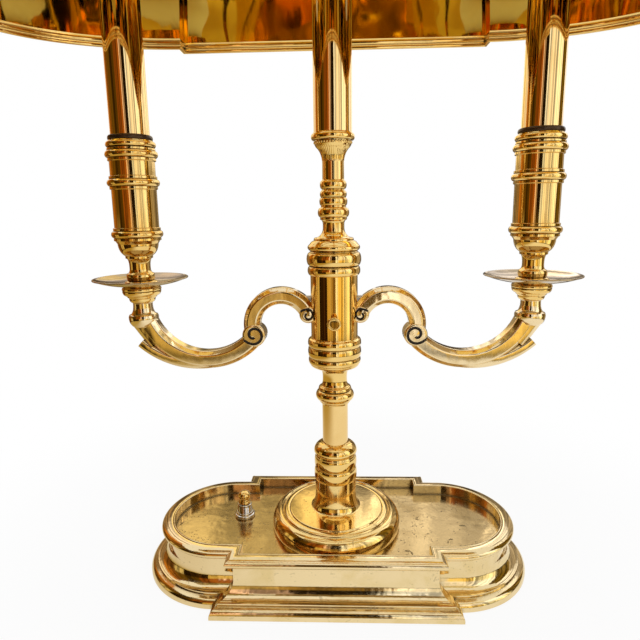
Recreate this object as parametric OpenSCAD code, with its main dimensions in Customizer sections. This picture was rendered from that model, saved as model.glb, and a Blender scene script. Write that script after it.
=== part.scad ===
// Bouillotte lamp: a stepped oblong plinth, a turned column, two scrolled
// candle arms and an oblong brass shade on a sliding rod. Millimetres, +Z up.
// The origin is the centre of the face that the lamp stands on.

/* [Plinth] */
// Half length of the centre block at the top lip
block_half_l = 73.5; // [66:0.5:80]
// Half depth of the centre block at the top lip
block_half_d = 60; // [55:0.5:66]
// Radius of each round end at the top lip
wing_r = 50; // [46:0.5:53]
// Distance from the middle to the centre of each round end
wing_x = 81; // [76:0.5:90]
// Height of the plinth above the table
plinth_h = 37.5; // [34:0.5:44]
// Depth of the tray below the lip
tray_depth = 8; // [6:0.5:10]
// Width of the top lip
lip_w = 9.5; // [8.5:0.5:11]
// How far the plain band stands back from the lip
band_in = 5; // [3:0.1:6]
// How far the foot moulding stands out from the lip
foot_out = 9.3; // [7:0.1:11]
// Wall thickness of the casting
cast_wall = 4; // [3:0.5:5]
// Thickness of the tray floor
floor_t = 3; // [2:0.5:4]

/* [Underside] */
// Thickness of the felt under the plinth
felt_t = 2; // [1:0.5:3]
// How far the casting clears the table
rim_lift = 0.6; // [0.3:0.1:0.9]
// Thickness of the bottom cover
cover_t = 2; // [1.5:0.5:3]
// How far the cover recess runs past the lip outline
cover_out = 3; // [2:0.5:4]
// Length of the iron weight
weight_l = 104; // [80:1:108]
// Depth of the iron weight
weight_d = 84; // [60:1:90]
// Thickness of the iron weight
weight_t = 11; // [6:0.5:12]
// Distance of the cover screws from the middle, along the length
screw_x = 62; // [60:0.5:64]
// Distance of the cover screws from the middle, along the depth
screw_y = 38; // [34:0.5:40]
// Radius of the cover screw shanks
screw_r = 1.6; // [1.2:0.1:2]

/* [Cord inlet] */
// Bore radius of the inlet bush
inlet_r = 2.8; // [2.2:0.1:3.2]
// Radius of the inlet bush in the casting
bush_r = 4.2; // [3.9:0.1:4.6]
// Height of the inlet above the table
inlet_z = 19; // [18:0.5:19.5]

/* [Switch] */
// Distance of the switch from the middle, along the length
switch_x = 71; // [68:0.5:74]
// Distance of the switch behind the middle
switch_y = 8; // [4:0.5:12]
// Radius of the threaded switch neck
neck_r = 5.6; // [5:0.1:6]
// Height of the switch neck above the tray
neck_h = 10.5; // [9:0.5:12]
// Radius of the ring nut
ring_nut_r = 7.8; // [7:0.1:9]
// Height of the ring nut
ring_nut_h = 4; // [3:0.5:5]
// Radius of the knob's head
knob_r = 4.8; // [4.2:0.1:5.2]
// Height of the knob
knob_h = 9.6; // [9:0.1:11]
// Length of the switch case
case_l = 24; // [20:1:26]
// Width of the switch case
case_w = 18; // [15:1:20]
// Height of the switch case
case_h = 12; // [10:0.5:13]

/* [Column] */
// Radius of the foot disc
foot_r = 47.7; // [45:0.1:49]
// Height of the foot disc's flat top above the tray
disc_h = 14.8; // [13:0.1:17]
// Height of the foot with its neck
foot_h = 37; // [34:0.5:42]
// Radius of the foot's neck
foot_neck_r = 15; // [14:0.1:15.2]
// Height of the ringed collar on the foot
collar_h = 29.5; // [27:0.5:33]
// Radius of the collar's rings
collar_r = 15.8; // [15.4:0.1:16.4]
// Radius of the stem tube
stem_r = 9.3; // [8.6:0.1:10]
// Wall thickness of the stem tube
stem_wall = 1.5; // [1:0.1:2]
// Length of the stem tube that shows
stem_len = 29; // [24:0.5:45]
// Height of the vase on the stem
vase_h = 25.8; // [24:0.1:28]
// Radius of the vase at its bead
vase_r = 13.8; // [13.2:0.1:14.4]
// Radius of the threaded pipes in the column
pipe_r = 5; // [4.5:0.1:5.4]
// Bore radius of the threaded pipes
pipe_bore_r = 3.4; // [3:0.1:3.6]

/* [Hub] */
// Radius of the hub sleeve
hub_r = 16.4; // [15.8:0.1:17]
// Height of the hub sleeve
hub_h = 43.8; // [42:0.1:48]
// Height of the ringed boss under the hub
hub_lower_h = 23.7; // [22:0.1:26]
// Height of the ringed boss on the hub
hub_upper_h = 25.6; // [24:0.1:28]
// How far the rings stand out from the hub sleeve
ring_out = 2.5; // [2:0.1:3]
// Wall thickness of the hub sleeve
hub_wall = 4.4; // [4:0.1:5]
// Radius of the thumb screw's head
thumb_r = 4.7; // [4:0.1:5.5]
// Radius of the thumb screw's shank
thumb_shank_r = 2.4; // [2:0.1:3]
// How far the thumb screw stands out from the hub
thumb_out = 9; // [7:0.5:14]

/* [Upper column] */
// Height of the lower baluster
baluster_h = 21.5; // [20:0.1:24]
// Radius of the balusters' necks
neck_of_column_r = 7.35; // [7:0.05:8]
// Height of the flared cup
flare_h = 47.1; // [45:0.1:52]
// Radius of the flared cup's lip
flare_r = 14.6; // [14.2:0.1:15.2]
// Number of pearls round the flared cup
pearls = 36; // [24:1:40]
// Radius of the candle and column tubes
tube_r = 12.7; // [12.4:0.1:13]
// Wall thickness of the candle and column tubes
tube_wall = 1; // [0.6:0.1:1.4]
// Length of the column tube
column_tube_l = 132; // [120:1:135]
// Height of the cap on the column tube
cap_h = 16; // [15:0.5:19]

/* [Arms] */
// Radius of the hump of each arm, at its middle line
hump_r = 20.7; // [19.5:0.1:22]
// Thickness of the arm at the hump, seen from the front
arm_t = 11.8; // [11:0.1:12.6]
// Radius of the sweep of each arm, at its middle line
sweep_r = 45; // [44:0.1:47]
// Thickness of the arm at the sweep, seen from the front
sweep_t = 12.6; // [12:0.1:13.4]
// Radius of the leaf under the sweep, at its outer edge
leaf_r = 64; // [62:0.1:66]
// Thickness of the leaf, seen from the front
leaf_t = 7.4; // [6.6:0.1:8]
// Width of the arm, from front to back
arm_w = 14; // [13:0.5:15]
// Chamfer along the edges of the arm
arm_chamfer = 3; // [2:0.1:3.2]
// Radius of the scroll between hump and sweep
scroll_r = 8.2; // [7.8:0.1:8.6]
// Radius of the small scroll at the hub
small_scroll_r = 6; // [5.4:0.1:6.4]
// How far each scroll's faces stand proud of the arm
scroll_proud = 0.3; // [0.2:0.1:0.6]
// Width of the groove in the scrolls
groove_w = 1.3; // [1:0.1:1.5]
// Depth of the groove in the scrolls
groove_d = 1; // [0.6:0.1:1.6]
// Radius of the wire channel in the arm
channel_r = 2; // [1.6:0.1:2.2]
// Radius of the knuckle under the candle
knuckle_r = 10.3; // [10:0.1:11]

/* [Candles] */
// Radius of the drip pan
pan_r = 32.4; // [28:0.1:36]
// Rise of the drip pan from its seat to its rim
pan_rise = 4; // [3:0.1:6]
// Thickness of the drip pan
pan_t = 1; // [0.8:0.1:1.5]
// Height of the candle cup
cup_h = 96; // [92:0.5:102]
// Radius of the candle cup's body
cup_r = 14.8; // [14.6:0.1:15.2]
// How far the candle cup's beads stand out
bead_out = 2.4; // [1.8:0.1:2.8]
// Radius of the dark ring on the candle cup
ring_r = 14.6; // [14.3:0.1:15]
// Height of the dark ring on the candle cup
ring_h = 3.4; // [2.8:0.1:4]
// Length of the candle tube
candle_l = 168; // [155:1:175]
// Radius of the pipe in each candle
candle_pipe_r = 4; // [3.6:0.1:4.4]
// Radius of the lamp holder
holder_r = 10.6; // [10:0.1:11]
// Height of the lamp holder
holder_h = 36; // [30:0.5:40]
// Radius of the bulb at its widest
bulb_r = 17.5; // [15:0.5:18.5]
// Length of the bulb above its holder
bulb_l = 76; // [70:1:80]

/* [Shade] */
// Half length of the shade's straight centre
shade_block_l = 124; // [116:1:130]
// Half depth of the shade's straight centre
shade_block_d = 99; // [94:1:106]
// Distance from the middle to the centre of each rounded end
shade_wing_x = 115; // [110:1:118]
// Length of each rounded end from that centre
shade_wing_l = 134; // [126:1:142]
// Half depth of the rounded ends
shade_wing_d = 87; // [84:1:92]
// Height of the shade's lower edge above the table
shade_z = 390; // [388:1:396]
// Height of the shade
shade_h = 130; // [126:1:140]
// Thickness of the shade's sheet
sheet_t = 1.2; // [1:0.1:1.6]
// How far the wall leans in from hem to shoulder
shade_lean = 8; // [4:0.5:10]
// Height of the rolled hem
hem_h = 8; // [6:0.5:9]
// Radius of the shoulder, seen in the wall's section
shoulder_r = 11; // [8:0.5:14]
// Width of the flat flange inside the shoulder
flange_w = 12; // [10:0.5:14]
// Radius of the shade rod
rod_r = 4; // [3.6:0.1:4.2]
// Radius of the rod's threaded tip
rod_tip_r = 3; // [2.6:0.1:3.2]
// Width of the spider's straps
strap_w = 12; // [10:0.5:14]
// Thickness of the spider's straps
strap_t = 2.4; // [2:0.1:3]
// Height of the finial
finial_h = 38; // [34:0.5:44]

/* [Fits] */
// Radial clearance of pieces that turn or slide on each other
run_fit = 0.06; // [0.03:0.01:0.09]
// Radial clearance of pieces that are screwed or soldered together
seat_fit = 0.05; // [0.02:0.01:0.08]
// Clearance between moving faces and round loose pieces
gap = 0.3; // [0.2:0.05:0.4]

/* [Hidden] */
$fn = 72;
eps = 0.01;

// Heights of the stack, from the table up
cover_z = felt_t;
cover_top = cover_z + cover_t;
tray_z = plinth_h - tray_depth;
ceiling_z = tray_z - floor_t;
collar_z = tray_z + foot_h;
stem_z = collar_z + collar_h;
vase_z = stem_z + stem_len;
lower_z = vase_z + vase_h;
hub_z = lower_z + hub_lower_h;
upper_z = hub_z + hub_h;
baluster_z = upper_z + hub_upper_h;
flare_z = baluster_z + baluster_h;
flare_top = flare_z + flare_h;
tube_seat = flare_top - 3.8;
tube_top = tube_seat + column_tube_l;

// Layout of one arm in the plane of the arms: [distance from column, height]
function polar(c, r, a) = c + r * [cos(a), sin(a)];
hump_c = [hub_r + hump_r + 0.2, hub_z + 9];
hump_start = 150;
hump_end = -19;
scroll_c = polar(hump_c, hump_r - 0.2, hump_end - 1);
small_scroll_c = [hub_r + 1.8, hump_c[1] + 7.6];
sweep_start = 220;
sweep_end = 336;
sweep_c = scroll_c + [34.4, 27];
leaf_c = sweep_c + [6, 12.2];
leaf_start = 250;
leaf_end = 312.5;
knuckle_z = sweep_c[1] - 14.4;
arm_reach = sweep_c[0] + sweep_r;
rise_base = [arm_reach - 9.4, knuckle_z - 18];
rise_len = 19.5;
arm_hole_z = small_scroll_c[1] + 9.5;
pipe_start = knuckle_z - 3;
support_z = knuckle_z + 10.8;
support_h = 12.6;
pan_z = support_z + support_h;
cup_z = pan_z + pan_t;
cup_floor = cup_z + 33.5;
cup_top = cup_z + cup_h;
candle_top = cup_floor + candle_l;
holder_z = candle_top - holder_h - 2;
bulb_z = holder_z + holder_h;

// Shade
shade_top = shade_z + shade_h;
shoulder_z = shade_top - shoulder_r - 1;
strap_z = shade_top - sheet_t - seat_fit - strap_t;
rod_shoulder = strap_z - gap;
rod_bottom = flare_top + 30;
rod_top = strap_z + strap_t + finial_h * 0.44;
rivet_r = 2;
rivet_in = shade_lean + shoulder_r + flange_w / 2;

// ---- outlines of turned pieces: lists of [radius, height] ----

// An elliptical arc
function bow(c, rx, rz, a0, a1, n = 6) =
    [for (i = [0:n]) let (a = a0 + (a1 - a0) * i / n) [c[0] + rx * cos(a), c[1] + rz * sin(a)]];
// A bead from z0 to z1 that stands out from radius r
function bead(r, z0, z1, out, n = 6) = bow([r, (z0 + z1) / 2], out, (z1 - z0) / 2, -90, 90, n);
// A quarter turn from p0 to p1 that starts upright
function rise(p0, p1, n = 5) =
    [for (i = [0:n]) let (a = 90 * i / n)
        [p1[0] - (p1[0] - p0[0]) * cos(a), p0[1] + (p1[1] - p0[1]) * sin(a)]];
// A quarter turn from p0 to p1 that ends upright
function turn_up(p0, p1, n = 5) =
    [for (i = [0:n]) let (a = 90 * i / n)
        [p0[0] + (p1[0] - p0[0]) * sin(a), p1[1] - (p1[1] - p0[1]) * cos(a)]];
// The same list without points that repeat
function tidy(p) = [for (i = [0:len(p) - 1]) if (i == 0 || norm(p[i] - p[max(i - 1, 0)]) > 0.02) p[i]];

// A turned piece with a bore
module turned(outline, bore, z0, z1) {
    rotate_extrude() polygon(tidy(concat([[bore, z0]], outline, [[bore, z1]])));
}
// A straight tube
module tube(r, bore, z0, z1) {
    difference() {
        translate([0, 0, z0]) cylinder(r = r, h = z1 - z0);
        translate([0, 0, z0 - 1]) cylinder(r = bore, h = z1 - z0 + 2);
    }
}
module hex(af, h) cylinder(r = af / sqrt(3), h = h, $fn = 6);
// A copy on the left and on the right arm
module at_candle(side) translate([side * arm_reach, 0, 0]) children();

// ---- plinth ----

// The moulding of the plinth: [distance out from the lip, height]
function plinth_moulding() = tidy(concat(
    [[foot_out - 0.8, rim_lift], [foot_out, rim_lift + 0.8]],
    bow([foot_out - 4.2, rim_lift + 2.2], 4.2, 4.6, 0, 80, 5),
    [[foot_out - 5, 7.6], [foot_out - 5, 9.8]],
    bow([foot_out - 5, 20], foot_out - 5 + band_in, 10.2, 270, 180, 6),
    [[-band_in, plinth_h - 5.4], [-0.8, plinth_h - 4.8], [-0.8, plinth_h - 3.9]],
    bow([-7.2, plinth_h - 3.7], 7.2, 3.3, 0, 90, 5),
    [[-lip_w + 1.4, plinth_h - 0.4], [-lip_w + 1.4, plinth_h]]));

function mirrored(pts, half) = concat(
    [for (p = pts) [half + p[0], p[1]]],
    [for (i = [len(pts) - 1:-1:0]) [-half - pts[i][0], pts[i][1]]]);

module block_solid() {
    pts = plinth_moulding();
    reach = 2 * (block_half_l + foot_out) + 2;
    intersection() {
        rotate([90, 0, 90]) linear_extrude(reach, center = true) polygon(mirrored(pts, block_half_d));
        rotate([90, 0, 0]) linear_extrude(reach, center = true) polygon(mirrored(pts, block_half_l));
    }
}
module wing_solid() {
    pts = plinth_moulding();
    half = [for (p = pts) [wing_r + p[0], p[1]]];
    translate([wing_x, 0, 0]) rotate([0, 0, -90])
        rotate_extrude(angle = 180) polygon(concat([[0, rim_lift]], half, [[0, plinth_h]]));
    translate([wing_x / 2, 0, 0]) rotate([90, 0, 90])
        linear_extrude(wing_x, center = true) polygon(mirrored(pts, wing_r));
}
// The plan of the plinth, moved out or in, as a slab
module plan_slab(block_off, wing_off, z0, z1) {
    translate([-block_half_l - block_off, -block_half_d - block_off, z0])
        cube([2 * (block_half_l + block_off), 2 * (block_half_d + block_off), z1 - z0]);
    translate([-wing_x, -wing_r - wing_off, z0]) cube([2 * wing_x, 2 * (wing_r + wing_off), z1 - z0]);
    for (s = [-1, 1]) translate([s * wing_x, 0, z0]) cylinder(r = wing_r + wing_off, h = z1 - z0);
}
module at_cover_screws() {
    for (sx = [-1, 1], sy = [-1, 1]) translate([sx * screw_x, sy * screw_y, 0]) children();
}
module plinth() color([0.80, 0.62, 0.28]) difference() {
    union() {
        difference() {
            union() {
                block_solid();
                wing_solid();
                mirror([1, 0, 0]) wing_solid();
            }
            plan_slab(-lip_w, -lip_w, tray_z, plinth_h + 1);
            plan_slab(-band_in - cast_wall, -band_in - cast_wall, -1, ceiling_z);
            plan_slab(cover_out, cover_out, -1, cover_top);
        }
        at_cover_screws() translate([0, 0, cover_top + gap])
            cylinder(r = screw_r + 3, h = ceiling_z - cover_top - gap + eps);
    }
    at_cover_screws() translate([0, 0, -1]) cylinder(r = screw_r + seat_fit, h = ceiling_z);
    translate([0, 0, ceiling_z - 1]) cylinder(r = pipe_r + gap, h = floor_t + 2);
    translate([-switch_x, switch_y, ceiling_z - 1]) cylinder(r = neck_r + seat_fit, h = floor_t + 2);
    translate([0, block_half_d + foot_out + 1, inlet_z]) rotate([90, 0, 0])
        cylinder(r = bush_r + seat_fit, h = foot_out + band_in + cast_wall + 3);
}
module bottom_cover() color([0.45, 0.45, 0.46]) difference() {
    plan_slab(cover_out - gap, cover_out - gap, cover_z, cover_top);
    at_cover_screws() translate([0, 0, -1]) cylinder(r = screw_r + gap, h = cover_top + 2);
}
module felt_pad() color([0.18, 0.33, 0.20]) difference() {
    plan_slab(cover_out - gap, cover_out - gap, 0, cover_z);
    at_cover_screws() translate([0, 0, -1]) cylinder(r = 2 * screw_r + 2 * gap, h = cover_z + 2);
}
module cover_screws() color([0.70, 0.70, 0.68]) at_cover_screws() {
    translate([0, 0, cover_z - 1.2]) cylinder(r = 2 * screw_r, h = 1.2);
    translate([0, 0, cover_z - 1]) cylinder(r = screw_r, h = cover_t + 10);
}
module iron_weight() color([0.25, 0.25, 0.26]) difference() {
    translate([-weight_l / 2, -weight_d / 2, cover_top]) cube([weight_l, weight_d, weight_t]);
    translate([0, 0, cover_top - 1]) cylinder(r = pipe_r + 9, h = weight_t + 2);
}
module cord_bush() color([0.12, 0.11, 0.10]) {
    wall_in = block_half_d - band_in - cast_wall;
    wall_out = block_half_d - band_in + 2.6;
    translate([0, 0, inlet_z]) rotate([-90, 0, 0]) {
        tube(bush_r, inlet_r, wall_in - 2, wall_out);
        tube(bush_r + 2.2, inlet_r, wall_in - 2 - 1.6, wall_in - gap / 3);
    }
}

// ---- switch ----

module at_switch() translate([-switch_x, switch_y, 0]) children();
knob_z = tray_z + neck_h + gap;
shaft_r = 2;
module switch_case() color([0.14, 0.13, 0.12]) at_switch() {
    top = ceiling_z - 2.6;
    difference() {
        translate([-case_l / 2, -case_w / 2, top - case_h]) cube([case_l, case_w, case_h]);
        translate([0, 0, top - 5]) cylinder(r = neck_r + seat_fit, h = 6);
    }
}
module switch_neck() color([0.72, 0.70, 0.66]) at_switch() {
    top = ceiling_z - 2.6;
    tube(neck_r, shaft_r + run_fit, top - 5, tray_z + neck_h);
    translate([0, 0, top]) difference() {
        hex(15, 2.6);
        translate([0, 0, -1]) cylinder(r = neck_r - 1, h = 5);
    }
}
module switch_ring_nut() color([0.72, 0.68, 0.60]) at_switch() translate([0, 0, tray_z])
    turned(concat([[ring_nut_r - 0.6, 0]], bead(ring_nut_r - 0.6, 0.2, ring_nut_h * 0.6, 0.6),
                  [[ring_nut_r - 1, ring_nut_h]]), neck_r + seat_fit, 0, ring_nut_h);
module switch_knob() color([0.72, 0.56, 0.26]) at_switch() {
    ball_z = knob_z + knob_h - 3.8;
    rotate_extrude() polygon(tidy(concat(
        [[0, knob_z], [knob_r - 0.3, knob_z], [knob_r - 0.1, knob_z + 0.5], [knob_r - 0.1, knob_z + 1],
         [knob_r - 0.5, knob_z + 1.7], [knob_r - 0.9, knob_z + 2.1], [knob_r - 0.9, knob_z + 2.6]],
        bow([0, ball_z], knob_r, 3.8, -42, 90, 9))));
    translate([0, 0, ceiling_z - 6]) cylinder(r = shaft_r, h = knob_z + 1 - ceiling_z + 6);
}

// ---- column ----

module column_foot() color([0.82, 0.64, 0.28]) {
    top = tray_z + disc_h;
    neck_top = tray_z + foot_h;
    difference() {
        turned(concat(
            [[foot_r - 1.6, tray_z]],
            bow([foot_r - 7.4, tray_z + 3.6], 7.4, 9.2, -22, 84, 9),
            [[foot_r - 7.9, top - 3], [foot_r - 8.4, top - 2.6]],
            bow([foot_r - 12, top - 3], 3.6, 1.8, 10, 88, 3),
            [[foot_r - 12.8, top - 1.4], [foot_r - 13.3, top - 0.6]],
            rise([foot_neck_r + 3.6, top - 0.2], [foot_neck_r, top + 10], 0),
            [for (i = [1:6]) let (a = 90 * i / 6) [foot_neck_r + 3.6 * (1 - sin(a)), top + 12 * (1 - cos(a))]],
            [[foot_neck_r, neck_top]]), pipe_r + gap, tray_z, neck_top);
        translate([0, 0, tray_z - 1]) tube(foot_r - 10, pipe_r + 4, 0, disc_h - 5);
    }
}
module foot_collar() color([0.82, 0.64, 0.28]) {
    r = collar_r - 1;
    h = collar_h / 10;
    turned(concat(
        bead(r, collar_z, collar_z + 3.1 * h, 1),
        bead(r, collar_z + 3.25 * h, collar_z + 6.1 * h, 0.8),
        [[r, collar_z + 6.25 * h]],
        bow([collar_r - 8.2, collar_z + 7.5 * h], 8.2, 1.6 * h, -35, 0, 2),
        bow([collar_r - 8.2, collar_z + 7.5 * h], 8.2, 2.24 * h, 0, 75, 6)),
        stem_r + seat_fit, collar_z, stem_z - 0.2 * h);
}
module stem_tube() color([0.82, 0.64, 0.28]) {
    tube(stem_r, stem_r - stem_wall, collar_z + 10, vase_z);
    tube(stem_r, pipe_r + seat_fit, collar_z, collar_z + 10);
}
module stem_vase() color([0.80, 0.60, 0.26]) {
    r = neck_of_column_r + 1.4;
    z = vase_z;
    top = vase_z + vase_h;
    turned(concat(
        [[stem_r + 0.3, z]],
        rise([stem_r + 0.6, z], [stem_r + 1.8, z + 1.6], 2),
        bow([vase_r - 4, z + 6.5], 4, 4.2, -70, 70, 7),
        [[vase_r - 1.8, z + 11]],
        rise([vase_r - 2, z + 11.2], [vase_r - 3.2, z + 13], 2),
        [for (i = [1:5]) let (a = 90 * i / 5) [r + (vase_r - 3.4 - r) * (1 - sin(a)), z + 13.4 + 5 * (1 - cos(a))]],
        [[r, z + 20]],
        rise([r, z + 20], [r + 1.9, top], 4)), pipe_r + seat_fit, z, top);
    tube(stem_r - stem_wall - seat_fit, pipe_r + seat_fit, z - 8, z);
}
module threaded_pipe() color([0.66, 0.64, 0.60]) difference() {
    tube(pipe_r, pipe_bore_r, pipe_foot, pipe_head);
    translate([-pipe_r - 1, 0, arm_hole_z]) rotate([0, 90, 0]) cylinder(r = channel_r, h = 2 * pipe_r + 2);
}
pipe_foot = ceiling_z - 9;
pipe_head = upper_z + 9.6;
nut_af = 15;
module pipe_nuts() color([0.66, 0.64, 0.60]) {
    tube(nut_af / 2 + 2, pipe_r + seat_fit, ceiling_z - 1.5, ceiling_z);
    difference() {
        translate([0, 0, ceiling_z - 7]) hex(nut_af, 5.5);
        translate([0, 0, ceiling_z - 8]) cylinder(r = pipe_r + seat_fit, h = 8);
    }
    difference() {
        translate([0, 0, upper_z + gap]) hex(nut_af, 6);
        translate([0, 0, upper_z]) cylinder(r = pipe_r + seat_fit, h = 8);
    }
}

// ---- hub ----

module hub_lower_boss() color([0.80, 0.58, 0.24]) {
    z = lower_z + gap;
    r = hub_r + ring_out;
    top = hub_z;
    turned(concat(
        [[neck_of_column_r + 3.4, z]],
        turn_up([neck_of_column_r + 4.6, z + 1], [r - 1.2, z + 4.4], 4),
        bead(r - 1.2, z + 4.4, z + 9, 0.9),
        bead(r - 1, z + 9.2, z + 16.6, 1),
        bead(r - 1, z + 16.8, top - 1.2, 1),
        [[hub_r + 0.6, top - 0.6], [hub_r + 0.4, top]]), pipe_r + run_fit, z, top);
}
module hub_sleeve() color([0.84, 0.58, 0.20]) difference() {
    union() {
        tube(hub_r, hub_r - hub_wall, hub_z, upper_z);
        tube(hub_r - hub_wall + eps, pipe_r + run_fit, upper_z - 8, upper_z);
    }
    translate([0, 0, thumb_z]) rotate([90, 0, 0]) cylinder(r = thumb_shank_r + run_fit, h = hub_r + 2);
    for (s = [-1, 1]) translate([0, 0, arm_hole_z]) rotate([0, s * 90, 0])
        cylinder(r = arm_screw_r + seat_fit, h = hub_r + 2);
}
module hub_upper_boss() color([0.80, 0.58, 0.24]) {
    z = upper_z;
    r = hub_r + ring_out;
    top = baluster_z;
    difference() {
        turned(concat(
            bead(hub_r + 0.2, z, z + 6.4, ring_out - 0.8),
            bead(r - 2, z + 6.6, z + 15.6, 2),
            bow([r - 6, z + 19], 5.2, 3.1, -50, 40, 5),
            [[r - 3.4, z + 22.8], [r - 5.1, z + 23.7]],
            [[r - 5.2, top - 0.8], [r - 5.8, top]]), pipe_r + seat_fit, z, top);
        translate([0, 0, z - 1]) cylinder(r = nut_af / sqrt(3) + 1, h = 1 + upper_cavity);
    }
}
upper_cavity = 11;
thumb_z = hub_z + 13.6;
arm_screw_r = 3.2;
module thumb_screw() color([0.84, 0.64, 0.26]) translate([0, 0, thumb_z]) rotate([90, 0, 0]) {
    head = hub_r + thumb_out;
    translate([0, 0, pipe_r + gap]) cylinder(r = thumb_shank_r, h = head - 4 - pipe_r - gap);
    rotate_extrude() polygon(tidy(concat(
        [[0, hub_r + 2.4], [thumb_shank_r + 0.6, hub_r + 2.4], [thumb_shank_r + 0.6, head - 3.2]],
        bow([thumb_r - 1, head - 1.6], 1, 1.6, -60, 60, 5),
        [[thumb_r - 1.3, head - 0.4], [0, head - 0.4]])));
}

// ---- upper column ----

module baluster() color([0.80, 0.60, 0.26]) {
    r = neck_of_column_r;
    z = baluster_z;
    top = flare_z;
    turned(concat(
        [for (i = [0:5]) let (a = 90 * i / 5) [r + 5.6 * (1 - sin(a)), z + 6.6 * (1 - cos(a))]],
        rise([r, z + 9], [r + 1.6, z + 11.9], 3),
        [[r + 1.8, z + 12.4], [r + 1.8, z + 13.4]],
        bead(r + 1.6, z + 13.6, z + 20, 1.75),
        [[r + 1.2, z + 20.4], [r + 1.2, top]]), pipe_r + seat_fit, z, top);
}
module upper_pipe() color([0.66, 0.64, 0.60])
    tube(pipe_r, pipe_bore_r, upper_z + upper_cavity + gap, flare_z + 21);
module flared_cup() color([0.80, 0.60, 0.26]) {
    r = neck_of_column_r;
    z = flare_z;
    neck = z + 17.4;
    lip = flare_top - 4.9;
    pearl_z = lip - 1.5;
    difference() {
        union() {
            turned(concat(
                [[r + 1.2, z]],
                bead(r + 1.2, z, z + 5.2, 0.95),
                bead(r + 0.9, z + 5.4, z + 9.4, 0.85),
                [[r + 0.3, z + 10.4]],
                bead(r + 0.3, z + 10.8, z + 16.4, 1.4),
                [[r, neck], [r, neck + 10]],
                bow([r + 8.4, neck + 10], 8.4, pearl_z - 1 - neck - 10, 180, 120, 5),
                [[flare_r - 2, pearl_z - 1], [flare_r - 2, lip]],
                bead(flare_r - 1.4, lip, flare_top - 0.6, 1.4),
                [[flare_r - 1.5, flare_top]]), pipe_r + seat_fit, z, flare_top);
            for (i = [0:pearls - 1]) rotate([0, 0, 360 * i / pearls])
                translate([flare_r - 2.6, 0, pearl_z]) rotate([0, 90, 0]) cylinder(r = 0.8, h = 1);
        }
        translate([0, 0, tube_seat]) cylinder(r = tube_r + seat_fit, h = 10);
    }
}
module column_tube() color([0.80, 0.58, 0.22]) tube(tube_r, tube_r - tube_wall, tube_seat, tube_top);
module column_cap() color([0.80, 0.60, 0.26]) {
    z = tube_top;
    difference() {
        turned(concat(
            [[tube_r - tube_wall - seat_fit, z - 6], [tube_r - tube_wall - seat_fit, z], [tube_r + 1.2, z]],
            bead(tube_r + 0.4, z, z + 3, 0.8),
            bow([rod_r + 3.4, z + 3.2], tube_r - rod_r - 3.6, 2.6, 10, 90, 4),
            [[rod_r + 3.2, z + 6], [rod_r + 3.2, z + cap_h - 0.6], [rod_r + 2.6, z + cap_h]]),
            rod_r + run_fit, z - 6, z + cap_h);
        translate([0, 0, z + cap_h - 4.5]) rotate([90, 0, 0]) cylinder(r = 1.5 + run_fit, h = 20);
    }
}
module cap_screw() color([0.84, 0.64, 0.26]) translate([0, 0, tube_top + cap_h - 4.5]) rotate([90, 0, 0]) {
    out = rod_r + 3.2;
    translate([0, 0, rod_r + gap]) cylinder(r = 1.5, h = out + 1 - rod_r);
    rotate_extrude() polygon(tidy(concat([[0, out + 0.8], [2.6, out + 0.8]],
        bead(4, out + 1.6, out + 4.6, 0.9), [[3, out + 5], [0, out + 5]])));
}

// ---- arms ----

// The section of the arm, as [across the arm, front to back]
function arm_section(t, w, c) = let (a = t / 2, b = w / 2)
    [[-a, -b + c], [-a + c, -b], [a - c, -b], [a, -b + c], [a, b - c], [a - c, b], [-a + c, b], [-a, b - c]];
// Moves a drawing into the plane of the arms, at a point of that plane
module in_plane(c) translate([c[0], 0, c[1]]) rotate([90, 0, 0]) children();
// A bar of that section bent round a centre in the plane of the arms
module bent_bar(c, r, t, a0, a1, w = arm_w, cut = arm_chamfer) in_plane(c) rotate([0, 0, a0])
    rotate_extrude(angle = a1 - a0) translate([r, 0]) polygon(arm_section(t, w, cut));
module bent_rod(c, r, rod, a0, a1) in_plane(c) rotate([0, 0, a0])
    rotate_extrude(angle = a1 - a0) translate([r, 0]) circle(r = rod, $fn = 24);
// A straight bar of that section, from a point of the plane along an angle
module straight_bar(p, len, a, t, w) in_plane(p) rotate([0, 0, a]) rotate([0, 90, 0])
    linear_extrude(len) rotate([0, 0, 90]) polygon(arm_section(t, w, arm_chamfer));
// A scroll: a disc on edge with a bevelled rim
module scroll(c, r) {
    b = arm_w / 2 + scroll_proud;
    in_plane(c) rotate_extrude() polygon(
        [[0, -b], [r - 1.6, -b], [r, -b + 1.6], [r, b - 1.6], [r - 1.6, b], [0, b]]);
}
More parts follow.
